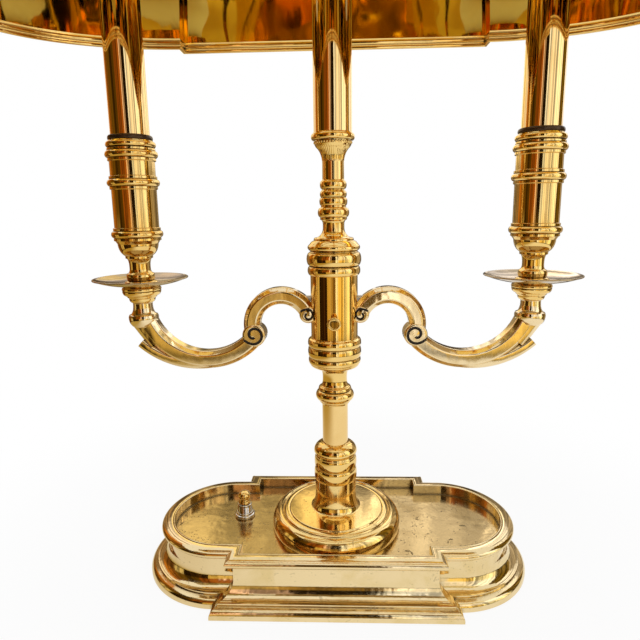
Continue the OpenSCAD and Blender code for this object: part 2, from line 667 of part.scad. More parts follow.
// The groove of a scroll, as half turns of shrinking radius, front and back
module spiral(c, r, turns) for (f = [-1, 1]) in_plane(c) mirror([0, 1, 0]) for (i = [0:turns - 1])
    let (step = 0.2 * r) translate([i % 2 == 0 ? 0 : -step, 0, f > 0 ? arm_w / 2 - groove_d : -arm_w / 2 - 1])
    rotate([0, 0, i % 2 == 0 ? 0 : 180]) rotate_extrude(angle = 180)
    translate([r - i * step - groove_w / 2, 0]) square([groove_w, groove_d + 1]);
module arm() difference() {
    union() {
        bent_bar(hump_c, hump_r, arm_t, hump_end, hump_start, arm_w - 0.4);
        bent_bar(sweep_c, sweep_r, sweep_t, sweep_start, sweep_end);
        bent_bar(leaf_c, leaf_r - leaf_t / 2, leaf_t, leaf_start, leaf_end, arm_w - 2, 1.5);
        straight_bar(rise_base, rise_len, 55, sweep_t, arm_w - 0.2);
        scroll(scroll_c, scroll_r);
        scroll(small_scroll_c, small_scroll_r);
        translate([arm_reach, 0, 0]) turned(concat(
            bow([knuckle_r - 5, knuckle_z], 5, 7, -80, 6, 5),
            [[9.8, knuckle_z + 2]],
            [for (i = [1:5]) let (a = 90 * i / 5) [6.7 + 3.1 * (1 - sin(a)), knuckle_z + 2 + 6.6 * (1 - cos(a))]],
            [[6.7, support_z - 0.4], [7, support_z]]),
            0, knuckle_z - 7, support_z);
    }
    cylinder(r = hub_r + eps, h = 1000);
    spiral(scroll_c, scroll_r - 3, 4);
    spiral(small_scroll_c, small_scroll_r - 2.4, 3);
    bent_rod(hump_c, hump_r, channel_r, hump_end, hump_start - 12);
    bent_rod(sweep_c, sweep_r, channel_r, sweep_start, sweep_end);
    translate([scroll_c[0], 0, scroll_c[1]]) sphere(r = channel_r + 0.7);
    translate([arm_reach, 0, pipe_start]) cylinder(r = candle_pipe_r + seat_fit, h = 60);
    translate([0, 0, arm_hole_z]) rotate([0, 90, 0]) cylinder(r = arm_screw_r + seat_fit, h = hub_r + 7);
}
module arm_left() color([0.84, 0.66, 0.32]) mirror([1, 0, 0]) arm();
module arm_right() color([0.84, 0.66, 0.32]) arm();
// Hollow screws that hold the arms to the hub from inside
module arm_screws() color([0.66, 0.64, 0.60]) for (s = [0, 1]) mirror([s, 0, 0])
    translate([0, 0, arm_hole_z]) rotate([0, 90, 0]) {
        tube(arm_screw_r, arm_screw_r - 1.2, hub_r - hub_wall - 3.3, hub_r + 6);
        difference() {
            translate([0, 0, hub_r - hub_wall - 3.4]) hex(8.6, 2);
            translate([0, 0, hub_r - hub_wall - 5]) cylinder(r = arm_screw_r - 1.2, h = 5);
        }
    }

// ---- candles ----

module pan_support() turned(concat(
    [[6.9, support_z]],
    turn_up([7, support_z + 0.2], [9, support_z + 3.2], 3),
    [[10, support_z + 4], [10.4, support_z + 5]],
    turn_up([10.4, support_z + 5], [13.2, support_z + 8.4], 4),
    [[13.4, support_z + 10], [12.8, support_z + 10.8], [11.6, pan_z - 0.6], [11.6, pan_z]]),
    candle_pipe_r + seat_fit, support_z, pan_z);
module drip_pan() turned(concat(
    [[12, pan_z]],
    [for (i = [0:6]) let (u = i / 6) [12 + (pan_r - 13) * u, pan_z + pan_rise * u * u]],
    [[pan_r, pan_z + pan_rise], [pan_r, pan_z + pan_rise + pan_t]],
    [for (i = [6:-1:0]) let (u = i / 6) [12 + (pan_r - 13) * u, pan_z + pan_t + pan_rise * u * u]]),
    candle_pipe_r + seat_fit, pan_z, pan_z + pan_t);
module candle_cup() {
    z = cup_z;
    r = cup_r;
    difference() {
        turned(concat(
            [[11, z], [11.2, z + 0.8], [10.6, z + 1.6], [9.3, z + 2.2]],
            bead(8.9, z + 2.4, z + 7, 0.7, 4),
            [for (i = [0:5]) let (a = 90 * i / 5) [7.1 + 1.7 * (1 - sin(a)), z + 7.2 + 3.2 * (1 - cos(a))]],
            [[7.1, z + 12]],
            rise([7.1, z + 12.2], [8.7, z + 17.6], 4),
            [[9.2, z + 17.8], [9.2, z + 18.8]],
            bow([r - 8, z + 28.4], 6.8, 9.6, -68, -4, 6),
            cup_bead(z + 34.2),
            [[r, z + 41]],
            [[r, z + 61.6]],
            cup_bead(z + 68.6),
            [[r, z + 74.2], [r, z + 80.6]],
            cup_bead(z + cup_h - 8.8, 3.8),
            bead(r, z + cup_h - 4.4, z + cup_h - 0.6, 1.45),
            [[r - 0.3, z + cup_h]]), candle_pipe_r + seat_fit, z, z + cup_h);
        translate([0, 0, cup_floor]) cylinder(r = tube_r + seat_fit, h = cup_h);
        translate([0, 0, z + 20]) cylinder(r = candle_pipe_r + 4.2, h = cup_h);
    }
}
// A bead between two fillets on the candle cup
function cup_bead(z, end = 4.2) = concat(
    [[cup_r, z - 4.6], [cup_r + 0.9, z - 4.2], [cup_r + 0.9, z - 2.6]],
    bead(cup_r + 0.4, z - 2.4, z + 2.4, bead_out - 0.4),
    [[cup_r + 0.9, z + 2.6], [cup_r + 0.9, z + end], [cup_r, z + end + 0.3]]);
module dark_ring() turned(
    bow([ring_r - 1.2, cup_top + ring_h / 2], 1.2, ring_h / 2, -90, 90, 6),
    tube_r + seat_fit, cup_top, cup_top + ring_h);
module candle_tube() tube(tube_r, tube_r - tube_wall, cup_floor, candle_top);
module candle_pipe() {
    tube(candle_pipe_r, candle_pipe_r - 1.2, pipe_start, holder_z + 4);
    difference() {
        translate([0, 0, cup_z + 20]) hex(12, 4);
        translate([0, 0, cup_z + 19]) cylinder(r = candle_pipe_r - 0.2, h = 6);
    }
}
module lamp_holder() {
    difference() {
        translate([0, 0, holder_z]) cylinder(r = holder_r, h = holder_h);
        translate([0, 0, holder_z - 1]) cylinder(r = candle_pipe_r + seat_fit, h = 5);
        translate([0, 0, holder_z + 9]) cylinder(r = 7.2, h = holder_h);
    }
}
module bulb() {
    z = bulb_z + gap;
    wide = z + bulb_l * 0.36;
    rotate_extrude() polygon(tidy(concat(
        [[0, holder_z + 9.6], [4, holder_z + 9.6], [6.8, holder_z + 12], [6.8, z], [8, z]],
        [for (i = [1:5]) let (u = i / 6) [8 + (bulb_r - 8) * (1 - cos(180 * u)) / 2, z + (wide - z) * u]],
        bow([0, wide], bulb_r, bulb_l * 0.64, 0, 90, 12))));
}

brass = [0.82, 0.62, 0.28];
module pan_support_left() color(brass) at_candle(-1) pan_support();
module pan_support_right() color(brass) at_candle(1) pan_support();
module drip_pan_left() color(brass) at_candle(-1) drip_pan();
module drip_pan_right() color(brass) at_candle(1) drip_pan();
module candle_cup_left() color(brass) at_candle(-1) candle_cup();
module candle_cup_right() color(brass) at_candle(1) candle_cup();
module dark_ring_left() color([0.10, 0.08, 0.06]) at_candle(-1) dark_ring();
module dark_ring_right() color([0.10, 0.08, 0.06]) at_candle(1) dark_ring();
module candle_tube_left() color(brass) at_candle(-1) candle_tube();
module candle_tube_right() color(brass) at_candle(1) candle_tube();
module candle_pipe_left() color([0.66, 0.64, 0.60]) at_candle(-1) candle_pipe();
module candle_pipe_right() color([0.66, 0.64, 0.60]) at_candle(1) candle_pipe();
module lamp_holder_left() color([0.90, 0.88, 0.80]) at_candle(-1) lamp_holder();
module lamp_holder_right() color([0.90, 0.88, 0.80]) at_candle(1) lamp_holder();
module bulb_left() color([0.96, 0.95, 0.90]) at_candle(-1) bulb();
module bulb_right() color([0.96, 0.95, 0.90]) at_candle(1) bulb();

// ---- shade ----

// One quarter of the shade's plan, moved in by d: corner, step and rounded end
function shade_quarter(d) = let (
    x = shade_block_l - d, y = shade_block_d - d,
    a = shade_wing_l - d, b = shade_wing_d - d,
    t0 = acos((x - shade_wing_x) / a))
    concat([[x - 4, y], [x, y - 2.5], [x + 0.5, b * sin(t0) + 2]],
           [for (i = [0:13]) let (t = t0 * (1 - i / 13.5)) [shade_wing_x + a * cos(t) + (i == 0 ? 3 : 0), b * sin(t)]]);
function shade_plan(d) = let (q = shade_quarter(d), n = len(q)) concat(
    q, [for (i = [n - 1:-1:0]) [q[i][0], -q[i][1]]],
    [for (i = [0:n - 1]) [-q[i][0], -q[i][1]]],
    [for (i = [n - 1:-1:0]) [-q[i][0], q[i][1]]]);
// The section of the shade's wall: [distance in, height], once round
shade_section = let (t = sheet_t, l = shade_lean, e = shade_top, in_end = l + shoulder_r + flange_w) concat(
    [[0.9, shade_z], [0, shade_z + 1.2], [0, shade_z + hem_h - 1.2], [0.6, shade_z + hem_h]],
    bow([l + shoulder_r, shoulder_z], -shoulder_r, e - shoulder_z, 0, 90, 5),
    [[in_end, e], [in_end, e - t]],
    bow([l + shoulder_r, shoulder_z], t - shoulder_r, e - t - shoulder_z, 90, 0, 5),
    [[1.8, shade_z + hem_h], [2.6, shade_z + hem_h - 1], [2.6, shade_z + 1.2], [1.7, shade_z]]);
module shade_shell() color([0.84, 0.58, 0.18]) {
    rings = [for (p = shade_section) [for (q = shade_plan(p[0])) [q[0], q[1], p[1]]]];
    m = len(rings);
    n = len(rings[0]);
    points = [for (ring = rings) each ring];
    faces = [for (i = [0:m - 1], j = [0:n - 1]) let (k = (i + 1) % m, l = (j + 1) % n)
        [i * n + j, k * n + j, k * n + l, i * n + l]];
    polyhedron(points, faces, convexity = 6);
}
spider_in = shade_lean + shoulder_r + 2;
module at_rivets() for (s = [-1, 1]) {
    translate([s * (shade_wing_x + shade_wing_l - rivet_in), 0, 0]) children();
    translate([0, s * (shade_block_d - rivet_in), 0]) children();
}
module shade_spider() color([0.80, 0.60, 0.26]) difference() {
    union() {
        translate([0, 0, strap_z]) cylinder(r = 14, h = strap_t);
        translate([-shade_wing_x - shade_wing_l + spider_in, -strap_w / 2, strap_z])
            cube([2 * (shade_wing_x + shade_wing_l - spider_in), strap_w, strap_t]);
        translate([-strap_w / 2, -shade_block_d + spider_in, strap_z])
            cube([strap_w, 2 * (shade_block_d - spider_in), strap_t]);
    }
    translate([0, 0, strap_z - 1]) cylinder(r = rod_tip_r + run_fit, h = strap_t + 2);
    at_rivets() translate([0, 0, strap_z - 1]) cylinder(r = rivet_r + seat_fit, h = strap_t + 2);
}
module shade_rivets() color([0.84, 0.64, 0.26]) at_rivets() {
    translate([0, 0, strap_z - 1.4]) cylinder(r = 2 * rivet_r, h = 1.4);
    translate([0, 0, strap_z - 0.4]) cylinder(r = rivet_r, h = shade_top - strap_z + 0.8);
    rotate_extrude() polygon(concat([[0, shade_top]], bow([0, shade_top], 2 * rivet_r, 1.6, 0, 90, 5)));
}
module shade_rod() color([0.72, 0.68, 0.60]) {
    translate([0, 0, rod_bottom]) cylinder(r = rod_r, h = rod_shoulder - rod_bottom);
    translate([0, 0, rod_shoulder - 1]) cylinder(r = rod_tip_r, h = rod_top - rod_shoulder + 1);
    translate([0, 0, rod_shoulder - 3]) cylinder(r = rod_r + 5, h = 3);
}
module finial() color([0.82, 0.64, 0.28]) {
    z = strap_z + strap_t + gap;
    h = finial_h / 10;
    difference() {
        rotate_extrude() polygon(tidy(concat(
            [[0, z], [8.4, z], [8.8, z + 0.25 * h], [8.4, z + 0.6 * h]],
            [for (i = [0:4]) let (a = 90 * i / 4) [3.6 + 3.2 * (1 - sin(a)), z + 0.8 * h + 1.4 * h * (1 - cos(a))]],
            bead(3.8, z + 2.4 * h, z + 3.1 * h, 1.6, 4),
            bow([0, z + 5.6 * h], 8, 2.4 * h, -66, 66, 10),
            bead(2.6, z + 7.9 * h, z + 8.5 * h, 1.2, 4),
            bow([0, z + 9.2 * h], 2.9, 0.8 * h, -60, 90, 6))));
        translate([0, 0, z - 1]) cylinder(r = rod_tip_r + run_fit, h = rod_top - z + 2);
    }
}

plinth();
bottom_cover();
felt_pad();
cover_screws();
iron_weight();
cord_bush();
switch_case();
switch_neck();
switch_ring_nut();
switch_knob();
column_foot();
foot_collar();
stem_tube();
stem_vase();
threaded_pipe();
pipe_nuts();
hub_lower_boss();
hub_sleeve();
hub_upper_boss();
thumb_screw();
baluster();
upper_pipe();
flared_cup();
column_tube();
column_cap();
cap_screw();
arm_left();
arm_right();
arm_screws();
pan_support_left();
pan_support_right();
drip_pan_left();
drip_pan_right();
candle_cup_left();
candle_cup_right();
dark_ring_left();
dark_ring_right();
candle_tube_left();
candle_tube_right();
candle_pipe_left();
candle_pipe_right();
lamp_holder_left();
lamp_holder_right();
bulb_left();
bulb_right();
shade_rod();
shade_spider();
shade_shell();
shade_rivets();
finial();
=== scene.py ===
"""Bouillotte lamp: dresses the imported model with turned, cast and spun brass pieces.

The file is laid out as an add-on and is run as a script. Each group of pieces has
an operator, and the sidebar panel lists the operators in the order of making.
"""

import math
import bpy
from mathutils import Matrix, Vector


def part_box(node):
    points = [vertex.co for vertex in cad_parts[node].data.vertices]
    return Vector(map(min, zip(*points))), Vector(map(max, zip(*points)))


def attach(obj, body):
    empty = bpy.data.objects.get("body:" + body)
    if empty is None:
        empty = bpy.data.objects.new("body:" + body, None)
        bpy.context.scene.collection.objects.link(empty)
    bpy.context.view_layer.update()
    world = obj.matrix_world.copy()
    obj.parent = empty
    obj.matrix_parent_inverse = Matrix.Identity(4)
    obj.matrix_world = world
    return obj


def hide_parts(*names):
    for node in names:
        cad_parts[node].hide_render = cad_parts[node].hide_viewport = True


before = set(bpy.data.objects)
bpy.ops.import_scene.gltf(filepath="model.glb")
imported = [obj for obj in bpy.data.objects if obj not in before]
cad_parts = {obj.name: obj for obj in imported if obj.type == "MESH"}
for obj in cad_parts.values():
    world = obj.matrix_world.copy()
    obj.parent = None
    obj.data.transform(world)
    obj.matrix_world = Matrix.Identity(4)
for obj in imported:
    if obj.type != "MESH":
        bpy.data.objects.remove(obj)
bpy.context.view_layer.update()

from types import SimpleNamespace

import bmesh
import bpy
from mathutils import Vector

bl_info = {
    "name": "Bouillotte lamp",
    "version": (1, 0, 0),
    "blender": (4, 5, 0),
    "location": "3D View > Sidebar > Lamp",
    "description": "Makes the pieces of a two-light bouillotte lamp and its studio",
    "category": "Object",
}

MM = 0.001
RIGHT = 1
LEFT = -1
# in millimetres: the gap round what slides or screws in, and the bores round the pipes
CLEARANCE = 0.05
PIPE_HOLE = 5.3
PIPE_BORE = 5.05
HUB_BORE = 5.06
CANDLE_BORE = 4.05
# steps of a turned piece
TURN_STEPS = 96


# ---- sizes and colours ----

def span(node):
    """A CAD node's box in millimetres."""
    low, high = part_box(node)
    return SimpleNamespace(
        x0=low.x / MM, y0=low.y / MM, z0=low.z / MM,
        x1=high.x / MM, y1=high.y / MM, z1=high.z / MM)


def half_depth(node):
    """Half the front-to-back size of a CAD node: the radius of an upright round one."""
    box = span(node)
    return (box.y1 - box.y0) / 2


def length(name, description, millimetres):
    """A length property that is given in millimetres."""
    return bpy.props.FloatProperty(
        name=name, description=description, default=millimetres * MM,
        min=0.0, unit="LENGTH", precision=4)


def tint(name, description, red, green, blue):
    """A colour property."""
    return bpy.props.FloatVectorProperty(
        name=name, description=description, default=(red, green, blue),
        min=0.0, max=1.0, size=3, subtype="COLOR")


class LampSizes(bpy.types.PropertyGroup):
    """Sizes that the pieces are modelled from."""

    block_half_length: length(
        "Block half length", "Half length of the plinth's block at the lip", 73.5)
    block_half_depth: length(
        "Block half depth", "Half depth of the plinth's block at the lip", 60.0)
    wing_radius: length("Wing radius", "Radius of the plinth's round ends at the lip", 50.0)
    wing_centre: length(
        "Wing centre", "Distance of a round end's centre from the middle", 81.0)
    lip_width: length("Lip width", "Width of the plinth's top lip", 9.5)
    band_in: length("Band set-back", "How far the plain band stands back from the lip", 5.0)
    foot_out: length(
        "Foot moulding", "How far the foot moulding stands out from the lip", 9.3)
    foot_radius: length(
        "Foot radius", "Radius of the column's foot disc", half_depth("column_foot"))
    foot_neck: length("Foot neck", "Radius of the foot's neck", 15.0)
    collar_radius: length("Collar radius", "Radius of the collar's rings", 15.8)
    stem_radius: length("Stem radius", "Radius of the plain stem tube", half_depth("stem_tube"))
    vase_radius: length("Vase radius", "Radius of the vase on the stem", 13.8)
    column_neck: length("Column neck", "Radius of the narrow necks of the column", 7.35)
    hub_radius: length("Hub radius", "Radius of the hub sleeve", half_depth("hub_sleeve"))
    ring_out: length("Hub rings", "How far the hub's rings stand out", 2.5)
    thumb_radius: length("Thumb screw", "Radius of the thumb screw's head", 4.7)
    flare_radius: length("Cup lip", "Radius of the flared cup's lip", 14.6)
    tube_radius: length(
        "Tube radius", "Radius of the candle and column tubes", half_depth("column_tube"))
    tube_wall: length("Tube wall", "Wall thickness of the tubes", 1.0)
    rod_radius: length("Rod radius", "Radius of the shade's rod", 4.0)
    arm_width: length("Arm width", "Width of an arm from front to back", 14.0)
    arm_thickness: length("Hump thickness", "Thickness of an arm at its hump", 11.8)
    sweep_thickness: length("Sweep thickness", "Thickness of an arm at its sweep", 12.6)
    hump_radius: length(
        "Hump radius", "Radius of the arm's hump at its middle line", 20.7)
    sweep_radius: length(
        "Sweep radius", "Radius of the arm's sweep at its middle line", 45.0)
    scroll_radius: length(
        "Scroll radius", "Radius of the scroll between hump and sweep", 8.2)
    small_scroll_radius: length(
        "Small scroll radius", "Radius of the scroll at the hub", 6.0)
    pan_radius: length("Drip pan", "Radius of a drip pan", half_depth("drip_pan_right"))
    cup_radius: length("Candle cup", "Radius of a candle cup's plain body", 14.8)
    bead_out: length("Cup beads", "How far a candle cup's beads stand out", 2.4)
    shade_block_half_length: length(
        "Shade block length", "Half length of the shade's straight centre", 124.0)
    shade_block_half_depth: length(
        "Shade block depth", "Half depth of the shade's straight centre", 99.0)
    shade_wing_centre: length(
        "Shade wing centre", "Distance of a rounded end's centre", 115.0)
    shade_wing_length: length(
        "Shade wing length", "Length of a rounded end from its centre", 134.0)
    shade_wing_half_depth: length(
        "Shade wing depth", "Half depth of a rounded end", 87.0)
    sheet: length("Sheet", "Thickness of the shade's sheet", 1.2)
    bulb_radius: length("Bulb radius", "Radius of a bulb at its widest", half_depth("bulb_right"))


class LampColours(bpy.types.PropertyGroup):
    """Colours that the finishes are mixed from."""

    polished: tint("Polished brass", "Bright turned brass", 0.87, 0.61, 0.22)
    polished_deep: tint(
        "Polished brass, deep", "Older patches of the turned brass", 0.72, 0.44, 0.11)
    cast: tint("Cast brass", "Paler brass of the castings", 0.84, 0.67, 0.38)
    cast_deep: tint("Cast brass, deep", "Older patches of the castings", 0.68, 0.50, 0.18)
    tray: tint("Tray floor", "Satin brass of the tray floor", 0.62, 0.47, 0.23)
    tray_deep: tint("Tray floor, deep", "Tarnish of the tray floor", 0.40, 0.28, 0.11)
    tube: tint("Tube brass", "Drawn brass of the tubes", 0.88, 0.63, 0.27)
    tube_deep: tint("Tube brass, deep", "Older patches of the tubes", 0.74, 0.46, 0.14)
    sheet: tint("Sheet brass", "Outside of the shade", 0.89, 0.64, 0.25)
    sheet_deep: tint("Sheet brass, deep", "Older patches of the shade", 0.76, 0.49, 0.14)
    # painted reflection: the inside of the shade, a deep gold lacquer, is brighter and deeper than
    # the outside so that its mirrorings come out bright
    inner: tint("Inner sheet", "Deep gold lacquer inside the shade", 0.97, 0.70, 0.14)
    inner_deep: tint("Inner sheet, deep", "Older lacquer inside the shade", 0.88, 0.56, 0.08)
    hub: tint("Hub brass", "Deep gold of the hub's sleeve", 0.90, 0.61, 0.20)
    hub_deep: tint("Hub brass, deep", "Older patches of the sleeve", 0.74, 0.42, 0.09)
    foot: tint("Foot brass", "Bright brass of the foot disc", 0.92, 0.67, 0.28)
    # painted shade: the pans' brass and its deep patches are darker than the other brass, standing
    # for the dark things that the pans mirror
    pan: tint("Pan brass", "Dulled brass of the drip pans", 0.45, 0.345, 0.21)
    pan_deep: tint("Pan brass, deep", "Older patches of the pans", 0.40, 0.27, 0.11)
    arm: tint("Arm brass", "Pale hand-finished brass of the arms", 0.87, 0.70, 0.42)
    arm_deep: tint("Arm brass, deep", "Older patches of the arms", 0.74, 0.54, 0.24)
    # Dark wax and dirt, and painted shade too: this colour darkens recesses and the arms' cut
    # grooves
    grime: tint("Grime", "Dark wax and dirt in the grooves", 0.022, 0.010, 0.002)
    darkened: tint("Darkened brass", "Brown-black rings on the candle cups", 0.075, 0.045, 0.022)
    nickel: tint("Nickel", "Plated nut and neck of the switch", 0.66, 0.62, 0.54)
    steel: tint("Plated steel", "Pipes, nuts and screws", 0.56, 0.54, 0.50)
    iron: tint("Cast iron", "The weight in the plinth", 0.045, 0.045, 0.048)
    felt: tint("Felt", "The pad under the plinth", 0.022, 0.085, 0.032)
    bakelite: tint("Bakelite", "The switch case and the cord bush", 0.018, 0.014, 0.012)
    porcelain: tint("Porcelain", "The lamp holders", 0.78, 0.74, 0.62)
    glass: tint("Frosted glass", "The bulbs", 0.86, 0.85, 0.80)


class StudioSettings(bpy.types.PropertyGroup):
    """Camera and floor colour."""

    focal_length: bpy.props.FloatProperty(
        name="Focal length", description="Focal length in millimetres", default=29.95,
        min=10.0)
    camera_x: bpy.props.FloatProperty(
        name="Camera X", description="Camera place along the lamp", default=0.0041,
        unit="LENGTH")
    camera_y: bpy.props.FloatProperty(
        name="Camera Y", description="Camera place in front of the lamp", default=-0.3685,
        unit="LENGTH")
    camera_z: bpy.props.FloatProperty(
        name="Camera Z", description="Camera height above the table", default=0.2617,
        unit="LENGTH")
    tilt: bpy.props.FloatProperty(
        name="Tilt", description="Camera turn about X", default=math.radians(79.109),
        unit="ROTATION")
    roll: bpy.props.FloatProperty(
        name="Roll", description="Camera turn about Y", default=math.radians(0.746),
        unit="ROTATION")
    pan: bpy.props.FloatProperty(
        name="Pan", description="Camera turn about Z", default=math.radians(1.986),
        unit="ROTATION")
    shift_x: bpy.props.FloatProperty(
        name="Shift X", description="Sideways shift of the picture", default=-0.0011)
    shift_y: bpy.props.FloatProperty(
        name="Shift Y", description="Upward shift of the picture", default=-0.010)
    floor: tint("Floor", "Colour of the floor", 0.92, 0.92, 0.92)


def settings():
    """Sizes in millimetres, by name."""
    sizes = bpy.context.scene.lamp_sizes
    return SimpleNamespace(
        **{key: getattr(sizes, key) / MM for key in LampSizes.__annotations__})


# ---- outlines: lists of (radius, height) in millimetres ----

def bow(centre, across, up, start, end, steps=14):
    """An elliptical arc about a centre, from one angle to another."""
    points = []
    for i in range(steps + 1):
        angle = math.radians(start + (end - start) * i / steps)
        points.append((
            centre[0] + across * math.cos(angle), centre[1] + up * math.sin(angle)))
    return points


def bead(radius, bottom, top, out, steps=12):
    """A half-round bead that stands out from a radius."""
    return bow((radius, (bottom + top) / 2), out, (top - bottom) / 2, -90, 90, steps)


def rise(start, end, steps=8):
    """A quarter turn that starts upright."""
    return bow((end[0], start[1]), start[0] - end[0], end[1] - start[1], 0, 90, steps)


def turn_up(start, end, steps=8):
    """A quarter turn that ends upright."""
    return bow((start[0], end[1]), end[0] - start[0], end[1] - start[1], -90, 0, steps)


def cove(radius, out, bottom, height, steps=10):
    """A hollow that leaves a flat flange and runs up into a neck."""
    return bow((radius + out, bottom + height), -out, -height, 90, 0, steps)


def tidy(points, nearest=0.03):
    """The same points without those that repeat."""
    kept = [points[0]]
    for point in points[1:]:
        if math.dist(point, kept[-1]) > nearest:
            kept.append(point)
    return kept


def tube_outline(s, box):
    """The outline of a plain tube between the ends of a box."""
    inside = s.tube_radius - s.tube_wall
    return [(inside, box.z0), (s.tube_radius, box.z0), (s.tube_radius, box.z1), (inside, box.z1)]


def with_bore(outline, bore, bottom, top):
    """A closed outline: the outside from bottom to top and a straight bore."""
    return [(bore, bottom)] + outline + [(bore, top)]


# ---- modelling ----

def let_go():
    """Leaves edit mode and deselects every object."""
    if bpy.context.object is not None and bpy.context.object.mode != "OBJECT":
        bpy.ops.object.mode_set(mode="OBJECT")
    bpy.ops.object.select_all(action="DESELECT")


def take(piece):
    """Makes one object active and selected."""
    let_go()
    bpy.context.view_layer.objects.active = piece
    piece.select_set(True)


def metres(point):
    """A point in metres from one in millimetres."""
    return tuple(c * MM for c in point)


def newest(name):
    """The object that was just added or copied, given its name."""
    piece = bpy.context.object
    piece.name = name
    piece.data.name = name
    return piece


def choose(piece, test):
    """Selects the vertices that pass a test, in edit mode."""
    mesh = bmesh.from_edit_mesh(piece.data)
    for vertex in mesh.verts:
        vertex.select = test(vertex)
    mesh.select_flush_mode()
    bmesh.update_edit_mesh(piece.data)


def start_line(name, point):
    """Adds a plane, merges it to one point and leaves that point selected."""
    let_go()
    bpy.ops.mesh.primitive_plane_add(size=2 * MM, location=metres(point))
    piece = newest(name)
    bpy.ops.object.transform_apply()
    bpy.ops.object.mode_set(mode="EDIT")
    bpy.ops.mesh.select_mode(type="VERT")
    bpy.ops.mesh.select_all(action="SELECT")
    bpy.ops.mesh.merge(type="CENTER")
    return piece


def draw_on(points, here):
    """Extrudes the selected point along a line of points."""
    for point in points:
        step = tuple((b - a) * MM for a, b in zip(here, point))
        bpy.ops.mesh.extrude_region_move(TRANSFORM_OT_translate={"value": step})
        here = point
    return here


def close_line(piece):
    """Joins the last point of a line to the first."""
    choose(piece, lambda vertex: len(vertex.link_edges) < 2)
    bpy.ops.mesh.edge_face_add()


def weld(piece, distance=0.002):
    """Merges what coincides and turns the faces outwards, then leaves edit mode."""
    bpy.ops.mesh.select_all(action="SELECT")
    bpy.ops.mesh.remove_doubles(threshold=distance * MM)
    bpy.ops.mesh.dissolve_degenerate(threshold=distance * MM / 2)
    bpy.ops.mesh.select_all(action="SELECT")
    bpy.ops.mesh.normals_make_consistent(inside=False)
    mesh = bmesh.from_edit_mesh(piece.data)
    loose = [e for e in mesh.edges if len(e.link_faces) != 2]
    if loose:
        raise RuntimeError(f"{piece.name} isn't closed: {len(loose)} open or shared edges")
    bpy.ops.object.mode_set(mode="OBJECT")


def spin_outline(
        name, outline, centre=(0.0, 0.0, 0.0), steps=TURN_STEPS, closed=True, forward=False):
    """A turned piece. The outline is (radius, height), or (radius, out) along -Y if forward."""
    def place(point):
        if forward:
            return (centre[0] + point[0], -point[1], centre[2])
        return (centre[0] + point[0], centre[1], centre[2] + point[1])

    outline = tidy(outline)
    line = [place(p) for p in outline]
    piece = start_line(name, line[0])
    draw_on(line[1:], line[0])
    if closed:
        close_line(piece)
    bpy.ops.mesh.select_all(action="SELECT")
    bpy.ops.mesh.spin(
        steps=steps, angle=2 * math.pi, center=metres(centre),
        axis=(0, 1, 0) if forward else (0, 0, 1))
    weld(piece)
    return piece


def apply_modifier(piece, kind, **values):
    """Adds a modifier to a piece, sets it and applies it."""
    take(piece)
    bpy.ops.object.modifier_add(type=kind)
    modifier = piece.modifiers[-1]
    for key, value in values.items():
        setattr(modifier, key, value)
    bpy.ops.object.modifier_apply(modifier=modifier.name)


def soften(piece, width=0.15, angle=26, segments=3):
    """Rounds the sharp edges a little."""
    apply_modifier(
        piece, "BEVEL", width=width * MM, segments=segments, limit_method="ANGLE",
        angle_limit=math.radians(angle), use_clamp_overlap=True)


def smooth(piece, angle=42):
    """Smooth shading in which the large faces keep their own direction."""
    take(piece)
    bpy.ops.object.shade_smooth_by_angle(angle=math.radians(angle))
    apply_modifier(piece, "WEIGHTED_NORMAL", keep_sharp=True, weight=60)


def combine(piece, other, how):
    """Joins or cuts one piece with another, which is then removed."""
    apply_modifier(
        piece, "BOOLEAN", operation=how, solver="EXACT", object=other,
        material_mode="TRANSFER")
    bpy.data.objects.remove(other)
    if not piece.data.polygons:
        raise RuntimeError(f"{piece.name} is empty after it was combined")


def drill(piece, radius, depth, place, vertices=48, turn=(0, 0, 0)):
    """Cuts a round hole or hollow with a cylinder, centred on a place."""
    let_go()
    bpy.ops.mesh.primitive_cylinder_add(
        vertices=vertices, radius=radius * MM, depth=depth * MM, location=metres(place),
        rotation=turn)
    bpy.ops.object.transform_apply()
    combine(piece, bpy.context.object, "DIFFERENCE")


def mend(piece, nearest=0.004):
    """Closes the hairline slits that cutting and joining leave."""
    take(piece)
    bpy.ops.object.mode_set(mode="EDIT")
    bpy.ops.mesh.select_mode(type="VERT")
    for reach in (nearest, 2 * nearest, 5 * nearest):
        bpy.ops.mesh.select_all(action="SELECT")
        bpy.ops.mesh.dissolve_degenerate(threshold=0.0002 * MM)
        bpy.ops.mesh.delete_loose()
        bpy.ops.mesh.select_all(action="DESELECT")
        bpy.ops.mesh.select_non_manifold()
        bpy.ops.mesh.remove_doubles(threshold=reach * MM, use_unselected=True)
    bpy.ops.mesh.select_all(action="DESELECT")
    bpy.ops.mesh.select_non_manifold()
    bpy.ops.mesh.fill_holes(sides=0)
    bpy.ops.mesh.select_all(action="SELECT")
    bpy.ops.mesh.normals_make_consistent(inside=False)
    bpy.ops.object.mode_set(mode="OBJECT")


def copy_of(piece, name):
    """A copy with its own mesh, active and selected."""
    take(piece)
    bpy.ops.object.duplicate(linked=False)
    return newest(name)


def mirrored_copy(piece, name):
    """A copy with its own mesh on the other side of the middle."""
    twin = copy_of(piece, name)
    bpy.ops.object.mode_set(mode="EDIT")
    bpy.ops.mesh.select_all(action="SELECT")
    bpy.ops.transform.resize(value=(-1, 1, 1), center_override=(0, 0, 0))
    bpy.ops.mesh.flip_normals()
    bpy.ops.object.mode_set(mode="OBJECT")
    return twin


def finish_with(piece, *materials):
    """Gives a piece its finishes, by name, in the order of their slots."""
    piece.data.materials.clear()
    for name in materials:
        piece.data.materials.append(bpy.data.materials[name])


def fit(piece, body, node):
    """Puts a finished piece on its CAD body in place of a CAD node."""
    let_go()
    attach(piece, body)
    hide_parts(node)


